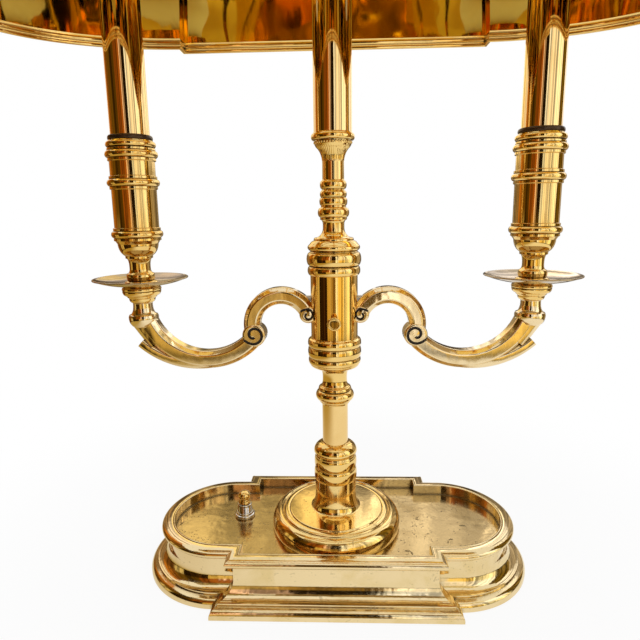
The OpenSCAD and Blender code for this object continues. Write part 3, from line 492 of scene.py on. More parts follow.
def turned_piece(name, outline, body, material, node, centre=(0.0, 0.0, 0.0),
                 steps=TURN_STEPS, closed=True, forward=False, edge=0.15):
    """A turned piece from outline to finished place."""
    piece = spin_outline(name, outline, centre, steps, closed, forward)
    soften(piece, edge)
    smooth(piece)
    finish_with(piece, material)
    fit(piece, body, node)
    return piece


def turned_pair(node, stuff, outline, material, reach, steps=TURN_STEPS, closed=True,
                edge=0.15):
    """A piece that is turned for the right candle and copied to the left one."""
    body = "hub and arms"
    right = turned_piece(
        f"{node}_right_{stuff}", outline, body, material, f"{node}_right",
        (reach, 0.0, 0.0), steps, closed, edge=edge)
    left = copy_of(right, f"{node}_left_{stuff}")
    bpy.ops.transform.translate(value=metres((-2 * reach, 0, 0)))
    bpy.ops.object.transform_apply()
    fit(left, body, f"{node}_left")


# ---- plans with a block and two round ends ----

class Plan:
    """An outline of block, steps and round ends that grows ring by ring in edit mode."""

    def __init__(self, name, block, wing, centre, height, straight, steps):
        self.block = list(block)
        self.wing = list(wing)
        self.centre = centre
        self.height = height
        self.straight = straight
        first = math.radians(84)
        across, deep = self.block
        wide, half = self.wing
        inner = self.inner(across, wide, half)
        turn_start = (centre + half * math.cos(first), half * math.sin(first))
        z = height
        self.piece = start_line(name, (across, deep, z))
        here = draw_on([(across, inner, z), (*turn_start, z)], (across, deep, z))
        here = self.round_end(RIGHT, first, steps)
        here = draw_on([
            (across, -inner, z), (across, -deep, z), (-across, -deep, z), (-across, -inner, z),
            (-turn_start[0], -turn_start[1], z)], here)
        here = self.round_end(LEFT, first, steps)
        draw_on([(-across, inner, z), (-across, deep, z)], here)
        close_line(self.piece)
        bpy.ops.mesh.select_all(action="SELECT")

    def inner(self, across, wide, half):
        """Half depth at which a round end leaves the block."""
        over = (across - self.centre) / wide
        if over < 0 and self.straight:
            return half
        return half * math.sqrt(1 - over * over)

    def round_end(self, side, first, steps):
        """Spins the selected point round one end and stretches the arc to its length."""
        wide, half = self.wing
        centre = (side * self.centre * MM, 0, self.height * MM)
        mesh = bmesh.from_edit_mesh(self.piece.data)
        known = {v for v in mesh.verts if not v.select}
        bpy.ops.mesh.spin(steps=steps, angle=2 * first, center=centre, axis=(0, 0, 1))
        mesh = bmesh.from_edit_mesh(self.piece.data)
        last = [v for v in mesh.verts if v.select][0]
        place = last.co.copy()
        if abs(wide - half) > 0.01:
            choose(self.piece, lambda vertex: vertex not in known)
            bpy.ops.transform.resize(value=(wide / half, 1, 1), center_override=centre)
            place.x = centre[0] + (place.x - centre[0]) * wide / half
            mesh = bmesh.from_edit_mesh(self.piece.data)
            last = min(mesh.verts, key=lambda v: (v.co - place).length)
            choose(self.piece, lambda vertex: vertex is last)
        return (place.x / MM, place.y / MM, self.height)

    def step(self, out, height):
        """Extrudes the outline to a new height and moves it outwards."""
        bpy.ops.mesh.extrude_region_move(
            TRANSFORM_OT_translate={"value": (0, 0, (height - self.height) * MM)})
        self.height = height
        if abs(out) < 1e-6:
            return
        mesh = bmesh.from_edit_mesh(self.piece.data)
        ring = {v for v in mesh.verts if v.select}
        across, deep = self.block
        wide, half = self.wing
        inner = self.inner(across, wide, half)
        new_inner = self.inner(across + out, wide + out, half + out)
        near = 0.02
        corner = {v for v in ring if abs(abs(v.co.y) / MM - deep) < near}
        notch = {
            v for v in ring - corner
            if abs(abs(v.co.x) / MM - across) < near and abs(abs(v.co.y) / MM - inner) < near}
        ends = ring - corner - notch
        if len(corner) != 4 or len(notch) != 4:
            raise RuntimeError(f"{self.piece.name}: the plan's corners were lost")
        stretch = ((wide + out) / wide, (half + out) / half, 1)
        moves = (
            (corner, ((across + out) / across, (deep + out) / deep, 1), 0),
            (notch, ((across + out) / across, new_inner / inner, 1), 0),
            ({v for v in ends if v.co.x > 0}, stretch, self.centre * MM),
            ({v for v in ends if v.co.x < 0}, stretch, -self.centre * MM))
        for group, value, middle in moves:
            choose(self.piece, lambda vertex: vertex in group)
            bpy.ops.transform.resize(value=value, center_override=(middle, 0, height * MM))
        choose(self.piece, lambda vertex: vertex in ring)
        self.block = [across + out, deep + out]
        self.wing = [wide + out, half + out]

    def close(self):
        """Closes the newest ring with a face, and then the first one."""
        bpy.ops.mesh.edge_face_add()
        bpy.ops.mesh.select_all(action="DESELECT")
        bpy.ops.mesh.select_non_manifold()
        bpy.ops.mesh.edge_face_add()


# ---- shader building ----

def feed(tree, socket, value):
    """Gives an input a constant, or links it to another node's output."""
    if isinstance(value, bpy.types.NodeSocket):
        tree.links.new(value, socket)
    elif socket.type == "RGBA":
        socket.default_value = (*value[:3], 1.0)
    else:
        socket.default_value = value


def add(tree, kind, x=0, y=0, inputs=None, **values):
    """A node at its place, with its settings and then its inputs by name."""
    node = tree.nodes.new(kind)
    node.location = (x, y)
    for key, value in values.items():
        setattr(node, key, value)
    for name, value in (inputs or {}).items():
        feed(tree, node.inputs[name], value)
    return node


def noise(tree, vector, scale, detail=3.0, roughness=0.5, distortion=0.0, x=0, y=0):
    """The value of a noise texture."""
    return add(tree, "ShaderNodeTexNoise", x, y, {
        "Vector": vector, "Scale": scale, "Detail": detail, "Roughness": roughness,
        "Distortion": distortion}).outputs["Fac"]


def mapped(tree, vector, scale, turn=(0, 0, 0), x=0, y=0):
    """A place stretched and turned, for a texture."""
    return add(tree, "ShaderNodeMapping", x, y, {
        "Vector": vector, "Scale": scale, "Rotation": turn}).outputs["Vector"]


def curve_to(tree, value, from_low, from_high, to_low=0.0, to_high=1.0, x=0, y=0):
    """Maps a range to another, clamped and eased."""
    return add(tree, "ShaderNodeMapRange", x, y, {
        "Value": value, "From Min": from_low, "From Max": from_high, "To Min": to_low,
        "To Max": to_high}, interpolation_type="SMOOTHSTEP").outputs["Result"]


def maths(tree, operation, first, second, x=0, y=0, clamp=False):
    """A sum on two values; each is a socket or a constant."""
    node = add(tree, "ShaderNodeMath", x, y, operation=operation, use_clamp=clamp)
    for socket, value in zip(node.inputs, (first, second)):
        feed(tree, socket, value)
    return node.outputs["Value"]


def mixed(tree, factor, first, second, x=0, y=0):
    """A colour mix; each colour is a socket or a constant."""
    node = add(tree, "ShaderNodeMix", x, y, data_type="RGBA")
    feed(tree, node.inputs["Factor"], factor)
    for socket, value in zip([s for s in node.inputs if s.type == "RGBA"], (first, second)):
        feed(tree, socket, value)
    return [s for s in node.outputs if s.type == "RGBA"][0]


def new_group(name, inputs):
    """A node group with its inputs, as (name, default, most), and the three outputs."""
    group = bpy.data.node_groups.new(name, "ShaderNodeTree")
    for label, default, most in inputs:
        kind = "NodeSocketFloat" if most else "NodeSocketColor"
        socket = group.interface.new_socket(name=label, in_out="INPUT", socket_type=kind)
        socket.default_value = default
        if most:
            socket.min_value = 0.0
            socket.max_value = most
    for label, kind in (("Color", "NodeSocketColor"), ("Roughness", "NodeSocketFloat"),
                        ("Height", "NodeSocketFloat")):
        group.interface.new_socket(name=label, in_out="OUTPUT", socket_type=kind)
    into = add(group, "NodeGroupInput", -1400, 0)
    out = add(group, "NodeGroupOutput", 1100, 0)
    place = add(group, "ShaderNodeTexCoord", -1400, -300).outputs["Object"]
    return group, into, out, place


def brass_group():
    """Tarnish, polishing lines, fine scratches, pits, and dirt with painted shade in recesses."""
    group, into, out, place = new_group("Worn brass", (
        ("Bright", (0.9, 0.66, 0.31, 1), None),
        ("Deep", (0.8, 0.5, 0.17, 1), None),
        ("Grime", (0.02, 0.011, 0.005, 1), None),
        ("Recess", 0.0, 1.0),
        ("Tarnish", 0.3, 1.0),
        ("Pits", 0.0, 1.0),
        ("Smoothest", 0.06, 1.0),
        ("Roughest", 0.16, 1.0),
        ("Line strength", 0.3, 1.0),
        ("Waves", 0.6, 10.0),
        ("Swell", 0.0, 10.0)))

    patches = noise(group, place, 34.0, 4.0, 0.6, 0.6, -1100, 300)
    patches = curve_to(group, patches, 0.42, 0.72, x=-900, y=300)
    patches = maths(group, "MULTIPLY", patches, into.outputs["Tarnish"], -700, 300)
    specks = noise(group, place, 620.0, 3.0, 0.6, 0.0, -1100, 60)
    lines = mapped(group, place, (8, 8, 1500), x=-1250, y=-150)
    lines = noise(group, lines, 1.0, 2.0, 0.6, 0.0, -1050, -150)
    hair = mapped(group, place, (900, 60, 260), (0.5, 0.3, 0.7), -1250, -380)
    hair = noise(group, hair, 1.6, 3.0, 0.7, 0.3, -1050, -380)
    hair = curve_to(group, hair, 0.62, 0.70, x=-850, y=-380)
    cells = add(group, "ShaderNodeTexVoronoi", -1050, -620, {"Vector": place, "Scale": 420.0})
    dots = curve_to(group, cells.outputs["Distance"], 0.10, 0.26, 1.0, 0.0, -850, -620)
    where = noise(group, place, 70.0, 2.0, 0.6, 0.0, -1050, -860)
    where = curve_to(group, where, 0.46, 0.62, x=-850, y=-860)
    dots = maths(group, "MULTIPLY", dots, where, -650, -620)
    blots = noise(group, place, 150.0, 4.0, 0.62, 0.9, -1050, -1500)
    blots = curve_to(group, blots, 0.63, 0.69, 0.0, 0.9, -850, -1500)
    dots = maths(group, "MAXIMUM", dots, blots, -580, -700)
    dots = maths(group, "MULTIPLY", dots, into.outputs["Pits"], -500, -620)

    colour = mixed(group, patches, into.outputs["Bright"], into.outputs["Deep"], -300, 300)
    stained = maths(group, "MULTIPLY", dots, 0.75, -300, -500)
    colour = mixed(group, stained, colour, into.outputs["Grime"], -60, 260)
    # painted shade: recesses, where walls are near, turn towards the dark dirt colour
    grime = curve_to(group, into.outputs["Recess"], 0.18, 0.60, 0.0, 0.95, -60, 60)
    colour = mixed(group, grime, colour, into.outputs["Grime"], 200, 260)
    group.links.new(colour, out.inputs["Color"])

    specks_worn = maths(group, "MULTIPLY", specks, 0.5, -300, 60)
    patches_worn = maths(group, "MULTIPLY", patches, 0.6, -300, -60)
    hair_worn = maths(group, "MULTIPLY", hair, 0.35, -120, -260)
    worn = maths(group, "ADD", specks_worn, patches_worn, -120, -60, True)
    worn = maths(group, "ADD", worn, hair_worn, 40, -120, True)
    rough = add(group, "ShaderNodeMapRange", 200, -60, {
        "Value": worn, "To Min": into.outputs["Smoothest"],
        "To Max": into.outputs["Roughest"]}).outputs["Result"]
    rough_dots = maths(group, "MULTIPLY", dots, 0.35, 200, -320)
    rough = maths(group, "ADD", rough, rough_dots, 400, -60, True)
    rough_recess = maths(group, "MULTIPLY", grime, 0.45, 400, -320)
    rough = maths(group, "ADD", rough, rough_recess, 600, -60, True)
    group.links.new(rough, out.inputs["Roughness"])

    height = maths(group, "MULTIPLY", lines, into.outputs["Line strength"], 0, -700)
    grain = maths(group, "MULTIPLY", specks, 0.10, 0, -860)
    height = maths(group, "ADD", height, grain, 200, -700)
    scratches = maths(group, "MULTIPLY", hair, 0.12, 200, -860)
    height = maths(group, "SUBTRACT", height, scratches, 400, -700)
    hollows = maths(group, "MULTIPLY", dots, 0.9, 400, -860)
    height = maths(group, "SUBTRACT", height, hollows, 600, -700)
    waves = mapped(group, place, (90, 90, 36), x=-1250, y=-1080)
    waves = noise(group, waves, 1.0, 2.0, 0.5, 0.0, -1050, -1080)
    waves = maths(group, "MULTIPLY", waves, into.outputs["Waves"], 200, -1080)
    waves = maths(group, "MULTIPLY", waves, 40.0, 400, -1080)
    height = maths(group, "ADD", height, waves, 760, -700)
    swell = noise(group, place, 15.0, 1.0, 0.4, 0.3, -1050, -1300)
    swell = maths(group, "MULTIPLY", swell, into.outputs["Swell"], 200, -1300)
    swell = maths(group, "MULTIPLY", swell, 400.0, 400, -1300)
    height = maths(group, "ADD", height, swell, 900, -700)
    group.links.new(height, out.inputs["Height"])


def grain_group():
    """Fine grain, mottling and dust for plain finishes."""
    group, into, out, place = new_group("Fine grain", (
        ("Colour", (0.5, 0.5, 0.5, 1), None),
        ("Second colour", (0.3, 0.3, 0.3, 1), None),
        ("Grain scale", 400.0, 10000.0),
        ("Mottling", 0.5, 1.0),
        ("Smoothest", 0.3, 1.0),
        ("Roughest", 0.5, 1.0)))
    fine = add(group, "ShaderNodeTexNoise", -600, 100, {
        "Vector": place, "Scale": into.outputs["Grain scale"], "Detail": 4.0}).outputs["Fac"]
    broad = noise(group, place, 45.0, 3.0, 0.6, 0.4, -600, -200)
    broad = curve_to(group, broad, 0.35, 0.7, x=-400, y=-200)
    broad = maths(group, "MULTIPLY", broad, into.outputs["Mottling"], -200, -200)
    spots = curve_to(group, fine, 0.45, 0.75, x=-400, y=100)
    spots = maths(group, "MULTIPLY", spots, 0.35, -200, 100)
    blend = maths(group, "ADD", broad, spots, 0, 0, True)
    colour = mixed(
        group, blend, into.outputs["Colour"], into.outputs["Second colour"], 200, 200)
    rough = add(group, "ShaderNodeMapRange", 200, -60, {
        "Value": fine, "To Min": into.outputs["Smoothest"],
        "To Max": into.outputs["Roughest"]}).outputs["Result"]
    group.links.new(colour, out.inputs["Color"])
    group.links.new(rough, out.inputs["Roughness"])
    group.links.new(fine, out.inputs["Height"])


def empty_tree(owner):
    """The empty node tree of a material or world."""
    owner.use_nodes = True
    owner.node_tree.nodes.clear()
    return owner.node_tree


def new_material(name):
    """A material whose shader is still to be fed."""
    material = bpy.data.materials.new(name)
    tree = empty_tree(material)
    shader = add(tree, "ShaderNodeBsdfPrincipled", 300, 0)
    add(tree, "ShaderNodeOutputMaterial", 600, 0, {"Surface": shader.outputs["BSDF"]})
    return material, tree, shader


def dress(tree, shader, group, strength, distance, metallic):
    """Leads a group's colour, roughness and height to the shader."""
    raised = add(tree, "ShaderNodeBump", 150, -300, {
        "Strength": strength, "Distance": distance * MM, "Height": group.outputs["Height"]})
    tree.links.new(group.outputs["Color"], shader.inputs["Base Color"])
    tree.links.new(group.outputs["Roughness"], shader.inputs["Roughness"])
    tree.links.new(raised.outputs["Normal"], shader.inputs["Normal"])
    shader.inputs["Metallic"].default_value = metallic


def make_brass(name, bright, deep, grime, tarnish, pits, smoothest, roughest, lines,
               recess_reach, waves, swell):
    """A brass finish from the shared group, with dirt and painted shade gathered by nearness of
    walls.
    """
    tree, shader = new_material(name)[1:]
    worn = add(tree, "ShaderNodeGroup", 0, 0, {
        "Bright": bright, "Deep": deep, "Grime": grime, "Tarnish": tarnish, "Pits": pits,
        "Smoothest": smoothest, "Roughest": roughest, "Line strength": lines, "Waves": waves,
        "Swell": swell}, node_tree=bpy.data.node_groups["Worn brass"])
    if recess_reach > 0:
        # painted shade and dirt: ambient occlusion marks the recesses that are darkened
        shut = add(tree, "ShaderNodeAmbientOcclusion", -500, 0, {
            "Distance": recess_reach * MM}, only_local=True, samples=6)
        recess = maths(tree, "SUBTRACT", 1.0, shut.outputs["AO"], -300, 0, True)
        tree.links.new(recess, worn.inputs["Recess"])
    dress(tree, shader, worn, 1.0, 0.0025, 1.0)


def make_plain(name, colour, second, scale, mottling, smoothest, roughest, metallic, bump,
               distance):
    """A finish from the fine grain group."""
    tree, shader = new_material(name)[1:]
    grain = add(tree, "ShaderNodeGroup", 0, 0, {
        "Colour": colour, "Second colour": second, "Grain scale": scale, "Mottling": mottling,
        "Smoothest": smoothest, "Roughest": roughest},
        node_tree=bpy.data.node_groups["Fine grain"])
    dress(tree, shader, grain, bump, distance, metallic)
    return shader


def darker(colour, factor):
    """The same colour with less light."""
    return tuple(c * factor for c in colour)


# name, bright colour, deep colour, tarnish, pits, smoothest, roughest, polishing lines,
# reach of the dirt and painted shade in recesses in millimetres, waves, swell
BRASSES = (
    ("polished brass", "polished", "polished_deep", 0.45, 0.10, 0.04, 0.11, 0.35, 2.8, 1.0, 0.0),
    ("hub brass", "hub", "hub_deep", 0.45, 0.0, 0.05, 0.12, 0.12, 2.2, 0.5, 0.0),
    ("foot brass", "foot", "cast_deep", 0.55, 0.55, 0.06, 0.18, 0.20, 2.2, 1.4, 0.0),
    ("cast brass", "cast", "cast_deep", 0.45, 0.30, 0.055, 0.17, 0.15, 4.0, 2.0, 0.0),
    # painted shade: the pans' darker brass
    ("pan brass", "pan", "pan_deep", 0.45, 0.10, 0.06, 0.16, 0.30, 2.8, 1.6, 0.0),
    ("arm brass", "arm", "arm_deep", 0.50, 0.20, 0.06, 0.17, 0.10, 1.1, 2.2, 0.0),
    ("tray floor", "tray", "tray_deep", 0.60, 0.90, 0.12, 0.30, 0.05, 3.5, 2.5, 0.0),
    ("brass tube", "tube", "tube_deep", 0.35, 0.0, 0.03, 0.09, 0.12, 0, 0.4, 0.0),
    ("sheet brass", "sheet", "sheet_deep", 0.45, 0.0, 0.03, 0.08, 0.06, 0, 0.3, 1.2),
    # the inside of the shade: brighter, deeper brass as painted reflection
    ("inner sheet brass", "inner", "inner_deep", 0.35, 0.0, 0.03, 0.08, 0.06, 0, 0.4, 2.4))
# name, colour, how dark its second colour is, grain scale, mottling, smoothest, roughest,
# metallic, bump, depth of the bump in millimetres
PLAIN_FINISHES = (
    # dark dirt with painted shade, given to the faces of the arms' cut grooves
    ("groove grime", "grime", 0.4, 900.0, 0.4, 0.45, 0.7, 0.0, 0.1, 0.05),
    ("darkened brass", "darkened", 0.4, 700.0, 0.6, 0.22, 0.40, 0.8, 0.1, 0.05),
    ("nickel", "nickel", 0.55, 500.0, 0.45, 0.12, 0.30, 1.0, 0.1, 0.05),
    ("plated steel", "steel", 0.5, 500.0, 0.5, 0.22, 0.42, 1.0, 0.1, 0.05),
    ("cast iron", "iron", 0.5, 350.0, 0.6, 0.55, 0.8, 0.0, 0.5, 0.4),
    ("felt", "felt", 0.55, 2400.0, 0.5, 0.9, 1.0, 0.0, 0.8, 0.4),
    ("bakelite", "bakelite", 0.5, 300.0, 0.4, 0.22, 0.38, 0.0, 0.1, 0.05),
    ("porcelain", "porcelain", 0.85, 200.0, 0.4, 0.12, 0.25, 0.0, 0.1, 0.05),
    ("frosted glass", "glass", 0.92, 1600.0, 0.3, 0.35, 0.5, 0.0, 0.1, 0.05))


class BOUILLOTTE_OT_finishes(bpy.types.Operator):
    """Mix every finish of the lamp"""

    bl_idname = "bouillotte.finishes"
    bl_label = "Finishes"

    def execute(self, context):
        colours = context.scene.lamp_colours
        brass_group()
        grain_group()
        for name, bright, deep, *values in BRASSES:
            make_brass(
                name, getattr(colours, bright), getattr(colours, deep), colours.grime, *values)
        shaders = {}
        for name, key, second, *values in PLAIN_FINISHES:
            colour = getattr(colours, key)
            shaders[name] = make_plain(name, colour, darker(colour, second), *values)
        glass = shaders["frosted glass"]
        glass.inputs["Subsurface Weight"].default_value = 0.25
        glass.inputs["Subsurface Radius"].default_value = (0.004, 0.004, 0.003)
        return {"FINISHED"}


# ---- plinth ----

class BOUILLOTTE_OT_plinth(bpy.types.Operator):
    """Model the stepped oblong plinth with its tray"""

    bl_idname = "bouillotte.plinth"
    bl_label = "Plinth"

    def execute(self, context):
        s = settings()
        box = span("plinth")
        top = box.z1
        rim = box.z0
        tray = span("column_foot").z0
        ceiling = tray - 3.0
        cover = span("bottom_cover").z1
        out = s.foot_out
        moulding = [(-s.lip_width, tray)]
        moulding += [(-s.lip_width, top - 0.9)]
        moulding += bow((-s.lip_width + 0.8, top - 0.7), -0.8, 0.7, 0, 180, 6)[1:]
        moulding += [(-s.lip_width + 1.6, top - 0.45), (-s.lip_width + 2.3, top - 0.4)]
        moulding += bow((-7.2, top - 3.7), 7.2, 3.3, 90, 0, 14)
        moulding += [(0, top - 4.4), (-0.8, top - 4.5), (-0.8, top - 5.3)]
        moulding += bow((-s.band_in, top - 5.3), 4.0, 1.6, 0, -70, 6)[1:]
        moulding += [(-s.band_in, top - 7.2)]
        moulding += bow((out - 5, 20), out - 5 + s.band_in, 10.2, 180, 270, 14)
        moulding += [(out - 5, 7.8)]
        moulding += bow((out - 4.2, rim + 2.2), 4.2, 4.6, 80, 0, 12)
        moulding += [(out, rim + 0.8), (out - 0.8, rim)]
        moulding += [(3.0, rim), (3.0, cover), (-s.band_in - 4, cover), (-s.band_in - 4, ceiling)]
        moulding = tidy(moulding)
        first = moulding[0]
        plan = Plan(
            "plinth_casting",
            (s.block_half_length + first[0], s.block_half_depth + first[0]),
            (s.wing_radius + first[0], s.wing_radius + first[0]),
            s.wing_centre, first[1], True, 56)
        for here, there in zip(moulding, moulding[1:]):
            plan.step(there[0] - here[0], there[1])
        plan.close()
        piece = plan.piece
        weld(piece)
        soften(piece, 0.35, 24, 3)
        pipe_hole = (0, 0, PIPE_HOLE)
        switch_hole = (-71, 8, 5.65)
        for x, y, radius in (pipe_hole, switch_hole):
            drill(piece, radius, 8, (x, y, tray - 1.5))
        bush = (0, s.block_half_depth - 8, span("cord_bush").z0 + 6.4)
        drill(piece, 4.25, 16, bush, 40, (math.pi / 2, 0, 0))
        mend(piece)
        finish_with(piece, "cast brass", "tray floor")
        for face in piece.data.polygons:
            level = abs(face.center.z / MM - tray) < 0.02 and face.normal.z > 0.9
            face.material_index = 1 if level else 0
        smooth(piece, 38)
        fit(piece, "base", "plinth")
        return {"FINISHED"}


# ---- switch ----

class BOUILLOTTE_OT_switch(bpy.types.Operator):
    """Turn the threaded neck, the ring nut and the knob of the switch"""

    bl_idname = "bouillotte.switch"
    bl_label = "Switch"

    def execute(self, context):
        neck = span("switch_neck")
        nut = span("switch_ring_nut")
        knob = span("switch_knob")
        x = (nut.x0 + nut.x1) / 2
        y = (nut.y0 + nut.y1) / 2
        at = (x, y, 0.0)
        radius = 5.6
        base = nut.z0
        thread = [(radius, neck.z0 + 4)]
        z = base + 0.4
        while z < neck.z1 - 1.2:
            thread += [(radius - 0.42, z), (radius, z + 0.45)]
            z += 0.9
        thread += [(radius, neck.z1 - 0.5), (radius - 0.5, neck.z1)]
        turned_piece(
            "switch_neck_nickel", with_bore(thread, 2.06, neck.z0 + 4, neck.z1), "base",
            "nickel", "switch_neck", at, 48, edge=0.08)
        height = nut.z1 - nut.z0
        wide = (nut.x1 - nut.x0) / 2
        ring = [(wide - 0.7, base)] + bead(wide - 0.9, base + 0.2, base + height * 0.62, 0.9)
        ring += [(wide - 1.2, base + height * 0.66)]
        ring += rise((wide - 1.2, base + height * 0.66), (radius + 0.4, base + height), 6)
        ring = with_bore(ring, radius + CLEARANCE, base, base + height)
        turned_piece(
            "switch_ring_nut_nickel", ring, "base", "nickel", "switch_ring_nut", at, 64,
            edge=0.1)
        z = neck.z1 + 0.3
        r = 4.8
        ball = knob.z1 - 3.8
        outline = [(0, knob.z0), (2.0, knob.z0), (2.0, z), (r - 0.3, z), (r - 0.1, z + 0.4)]
        outline += [(r - 0.1, z + 1.1), (r - 0.45, z + 1.6)]
        outline += [(r - 0.9, z + 2.0), (r - 0.9, z + 2.7)]
        outline += bow((0, ball), r, 3.8, -42, -8, 8)
        outline += bow((0, ball), r, 3.8, -2, 90, 16)
        turned_piece(
            "switch_knob_brass", outline, "switch knob", "polished brass",
            "switch_knob", at, 48, closed=False, edge=0.1)
        return {"FINISHED"}


# ---- column ----

class BOUILLOTTE_OT_column(bpy.types.Operator):
    """Turn the foot, the collar, the stem and the vase"""

    bl_idname = "bouillotte.column"
    bl_label = "Column"

    def execute(self, context):
        s = settings()
        foot = span("column_foot")
        low, high = foot.z0, foot.z1
        top = low + 14.8
        r = s.foot_radius
        outline = [(r - 1.6, low)]
        outline += bow((r - 7.4, low + 3.6), 7.4, 9.2, -22, 84, 26)
        outline += [(r - 7.9, top - 3), (r - 8.4, top - 2.6)]
        outline += bow((r - 12, top - 3), 3.6, 1.8, 10, 88, 8)
        outline += [(r - 12.8, top - 1.4), (r - 13.3, top - 0.7), (r - 14.0, top - 0.4)]
        outline += cove(s.foot_neck, 3.6, top, 12.0, 14)
        outline += [(s.foot_neck, high)]
        outline += [(PIPE_HOLE, high), (PIPE_HOLE, low + 11)]
        outline += [(r - 10, low + 9.8), (r - 10, low)]
        turned_piece(
            "column_foot_brass", outline, "base", "foot brass", "column_foot",
            steps=128, edge=0.25)

        collar = span("foot_collar")
        z, h, r = collar.z0, 2.95, s.collar_radius - 1
        outline = bead(r, z, z + 3.1 * h, 1.0, 16)
        outline += bead(r, z + 3.25 * h, z + 6.1 * h, 0.8, 14)
        outline += [(r, z + 6.25 * h)]
        outline += bow((s.collar_radius - 8.2, z + 7.5 * h), 8.2, 1.6 * h, -35, 0, 6)
        outline += bow((s.collar_radius - 8.2, z + 7.5 * h), 8.2, 2.24 * h, 0, 75, 16)
        outline = with_bore(outline, s.stem_radius + CLEARANCE, z, collar.z1)
        turned_piece(
            "foot_collar_brass", outline, "base", "polished brass",
            "foot_collar", edge=0.2)

        stem = span("stem_tube")
        outline = [(s.stem_radius, stem.z0), (s.stem_radius, stem.z1)]
        outline += [(s.stem_radius - 1.5, stem.z1), (s.stem_radius - 1.5, stem.z0 + 10)]
        outline += [(PIPE_BORE, stem.z0 + 10), (PIPE_BORE, stem.z0)]
        turned_piece(
            "stem_tube_brass", outline, "base", "brass tube", "stem_tube")

        vase = span("stem_vase")
        z = stem.z1
        high = vase.z1
        r = s.column_neck + 1.4
        v = s.vase_radius
        outline = [(s.stem_radius + 0.3, z)]
        outline += rise((s.stem_radius + 0.6, z), (s.stem_radius + 1.8, z + 1.6), 5)
        outline += bow((v - 4, z + 6.5), 4, 4.2, -70, 70, 18)
        outline += [(v - 1.8, z + 11)]
        outline += rise((v - 2, z + 11.2), (v - 3.2, z + 13), 5)
        outline += cove(r, v - 3.4 - r, z + 13.4, 5.0, 10)
        outline += [(r, z + 20)]
        outline += rise((r, z + 20), (r + 1.9, high), 8)
        outline += [(PIPE_BORE, high), (PIPE_BORE, vase.z0)]
        outline += [(s.stem_radius - 1.55, vase.z0), (s.stem_radius - 1.55, z)]
        turned_piece(
            "stem_vase_brass", outline, "base", "polished brass", "stem_vase")
        return {"FINISHED"}


class BOUILLOTTE_OT_hub(bpy.types.Operator):
    """Turn the hub sleeve, its two ringed bosses and the thumb screw"""

    bl_idname = "bouillotte.hub"
    bl_label = "Hub"

    def execute(self, context):
        s = settings()
        lower = span("hub_lower_boss")
        z, top = lower.z0, lower.z1
        r = s.hub_radius + s.ring_out
        outline = [(s.column_neck + 3.4, z)]
        outline += turn_up((s.column_neck + 4.6, z + 1.0), (r - 1.2, z + 4.4), 12)
        outline += bead(r - 1.2, z + 4.4, z + 9.0, 0.9, 12)
        outline += bead(r - 1.0, z + 9.2, z + 16.6, 1.0, 14)
        outline += bead(r - 1.0, z + 16.8, top - 1.2, 1.0, 12)
        outline += [(s.hub_radius + 0.6, top - 0.6), (s.hub_radius + 0.4, top)]
        turned_piece(
            "hub_lower_boss_brass", with_bore(outline, HUB_BORE, z, top), "hub and arms",
            "polished brass", "hub_lower_boss", edge=0.2)

        sleeve = span("hub_sleeve")
        hollow = s.hub_radius - 4.4
        outline = [(s.hub_radius, sleeve.z0), (s.hub_radius, sleeve.z1), (HUB_BORE, sleeve.z1)]
        outline += [(HUB_BORE, sleeve.z1 - 8), (hollow, sleeve.z1 - 8), (hollow, sleeve.z0)]
        turned_piece(
            "hub_sleeve_brass", outline, "hub and arms", "hub brass",
            "hub_sleeve", edge=0.1)

        upper = span("hub_upper_boss")
        z, top = upper.z0, upper.z1
        outline = bead(s.hub_radius + 0.2, z, z + 6.4, s.ring_out - 0.8, 14)
        outline += bead(r - 2, z + 6.6, z + 15.6, 2.0, 18)
        outline += bow((r - 6, z + 19), 5.2, 3.1, -50, 40, 12)
        outline += [(r - 3.4, z + 22.8), (r - 5.1, z + 23.7), (r - 5.2, top - 0.8), (r - 5.8, top)]
        outline += [(PIPE_BORE, top), (PIPE_BORE, z + 11), (9.6, z + 11), (9.6, z)]
        turned_piece(
            "hub_upper_boss_brass", outline, "hub and arms", "polished brass",
            "hub_upper_boss", edge=0.2)

        thumb = span("thumb_screw")
        head = -thumb.y0
        height = (thumb.z0 + thumb.z1) / 2
        t = s.thumb_radius
        seat = s.hub_radius + 2.4
        outline = [(0, -thumb.y1), (2.4, -thumb.y1), (2.4, seat), (3.0, seat), (3.0, head - 2.8)]
        outline += bow((t - 1.1, head - 1.3), 1.1, 1.3, -70, 110, 14)
        outline += [(3.1, head - 0.55), (2.9, head - 0.7), (0, head - 0.7)]
        turned_piece(
            "thumb_screw_brass", outline, "thumb screw", "polished brass",
            "thumb_screw", (0, 0, height), 64, closed=False, forward=True, edge=0.1)
        return {"FINISHED"}


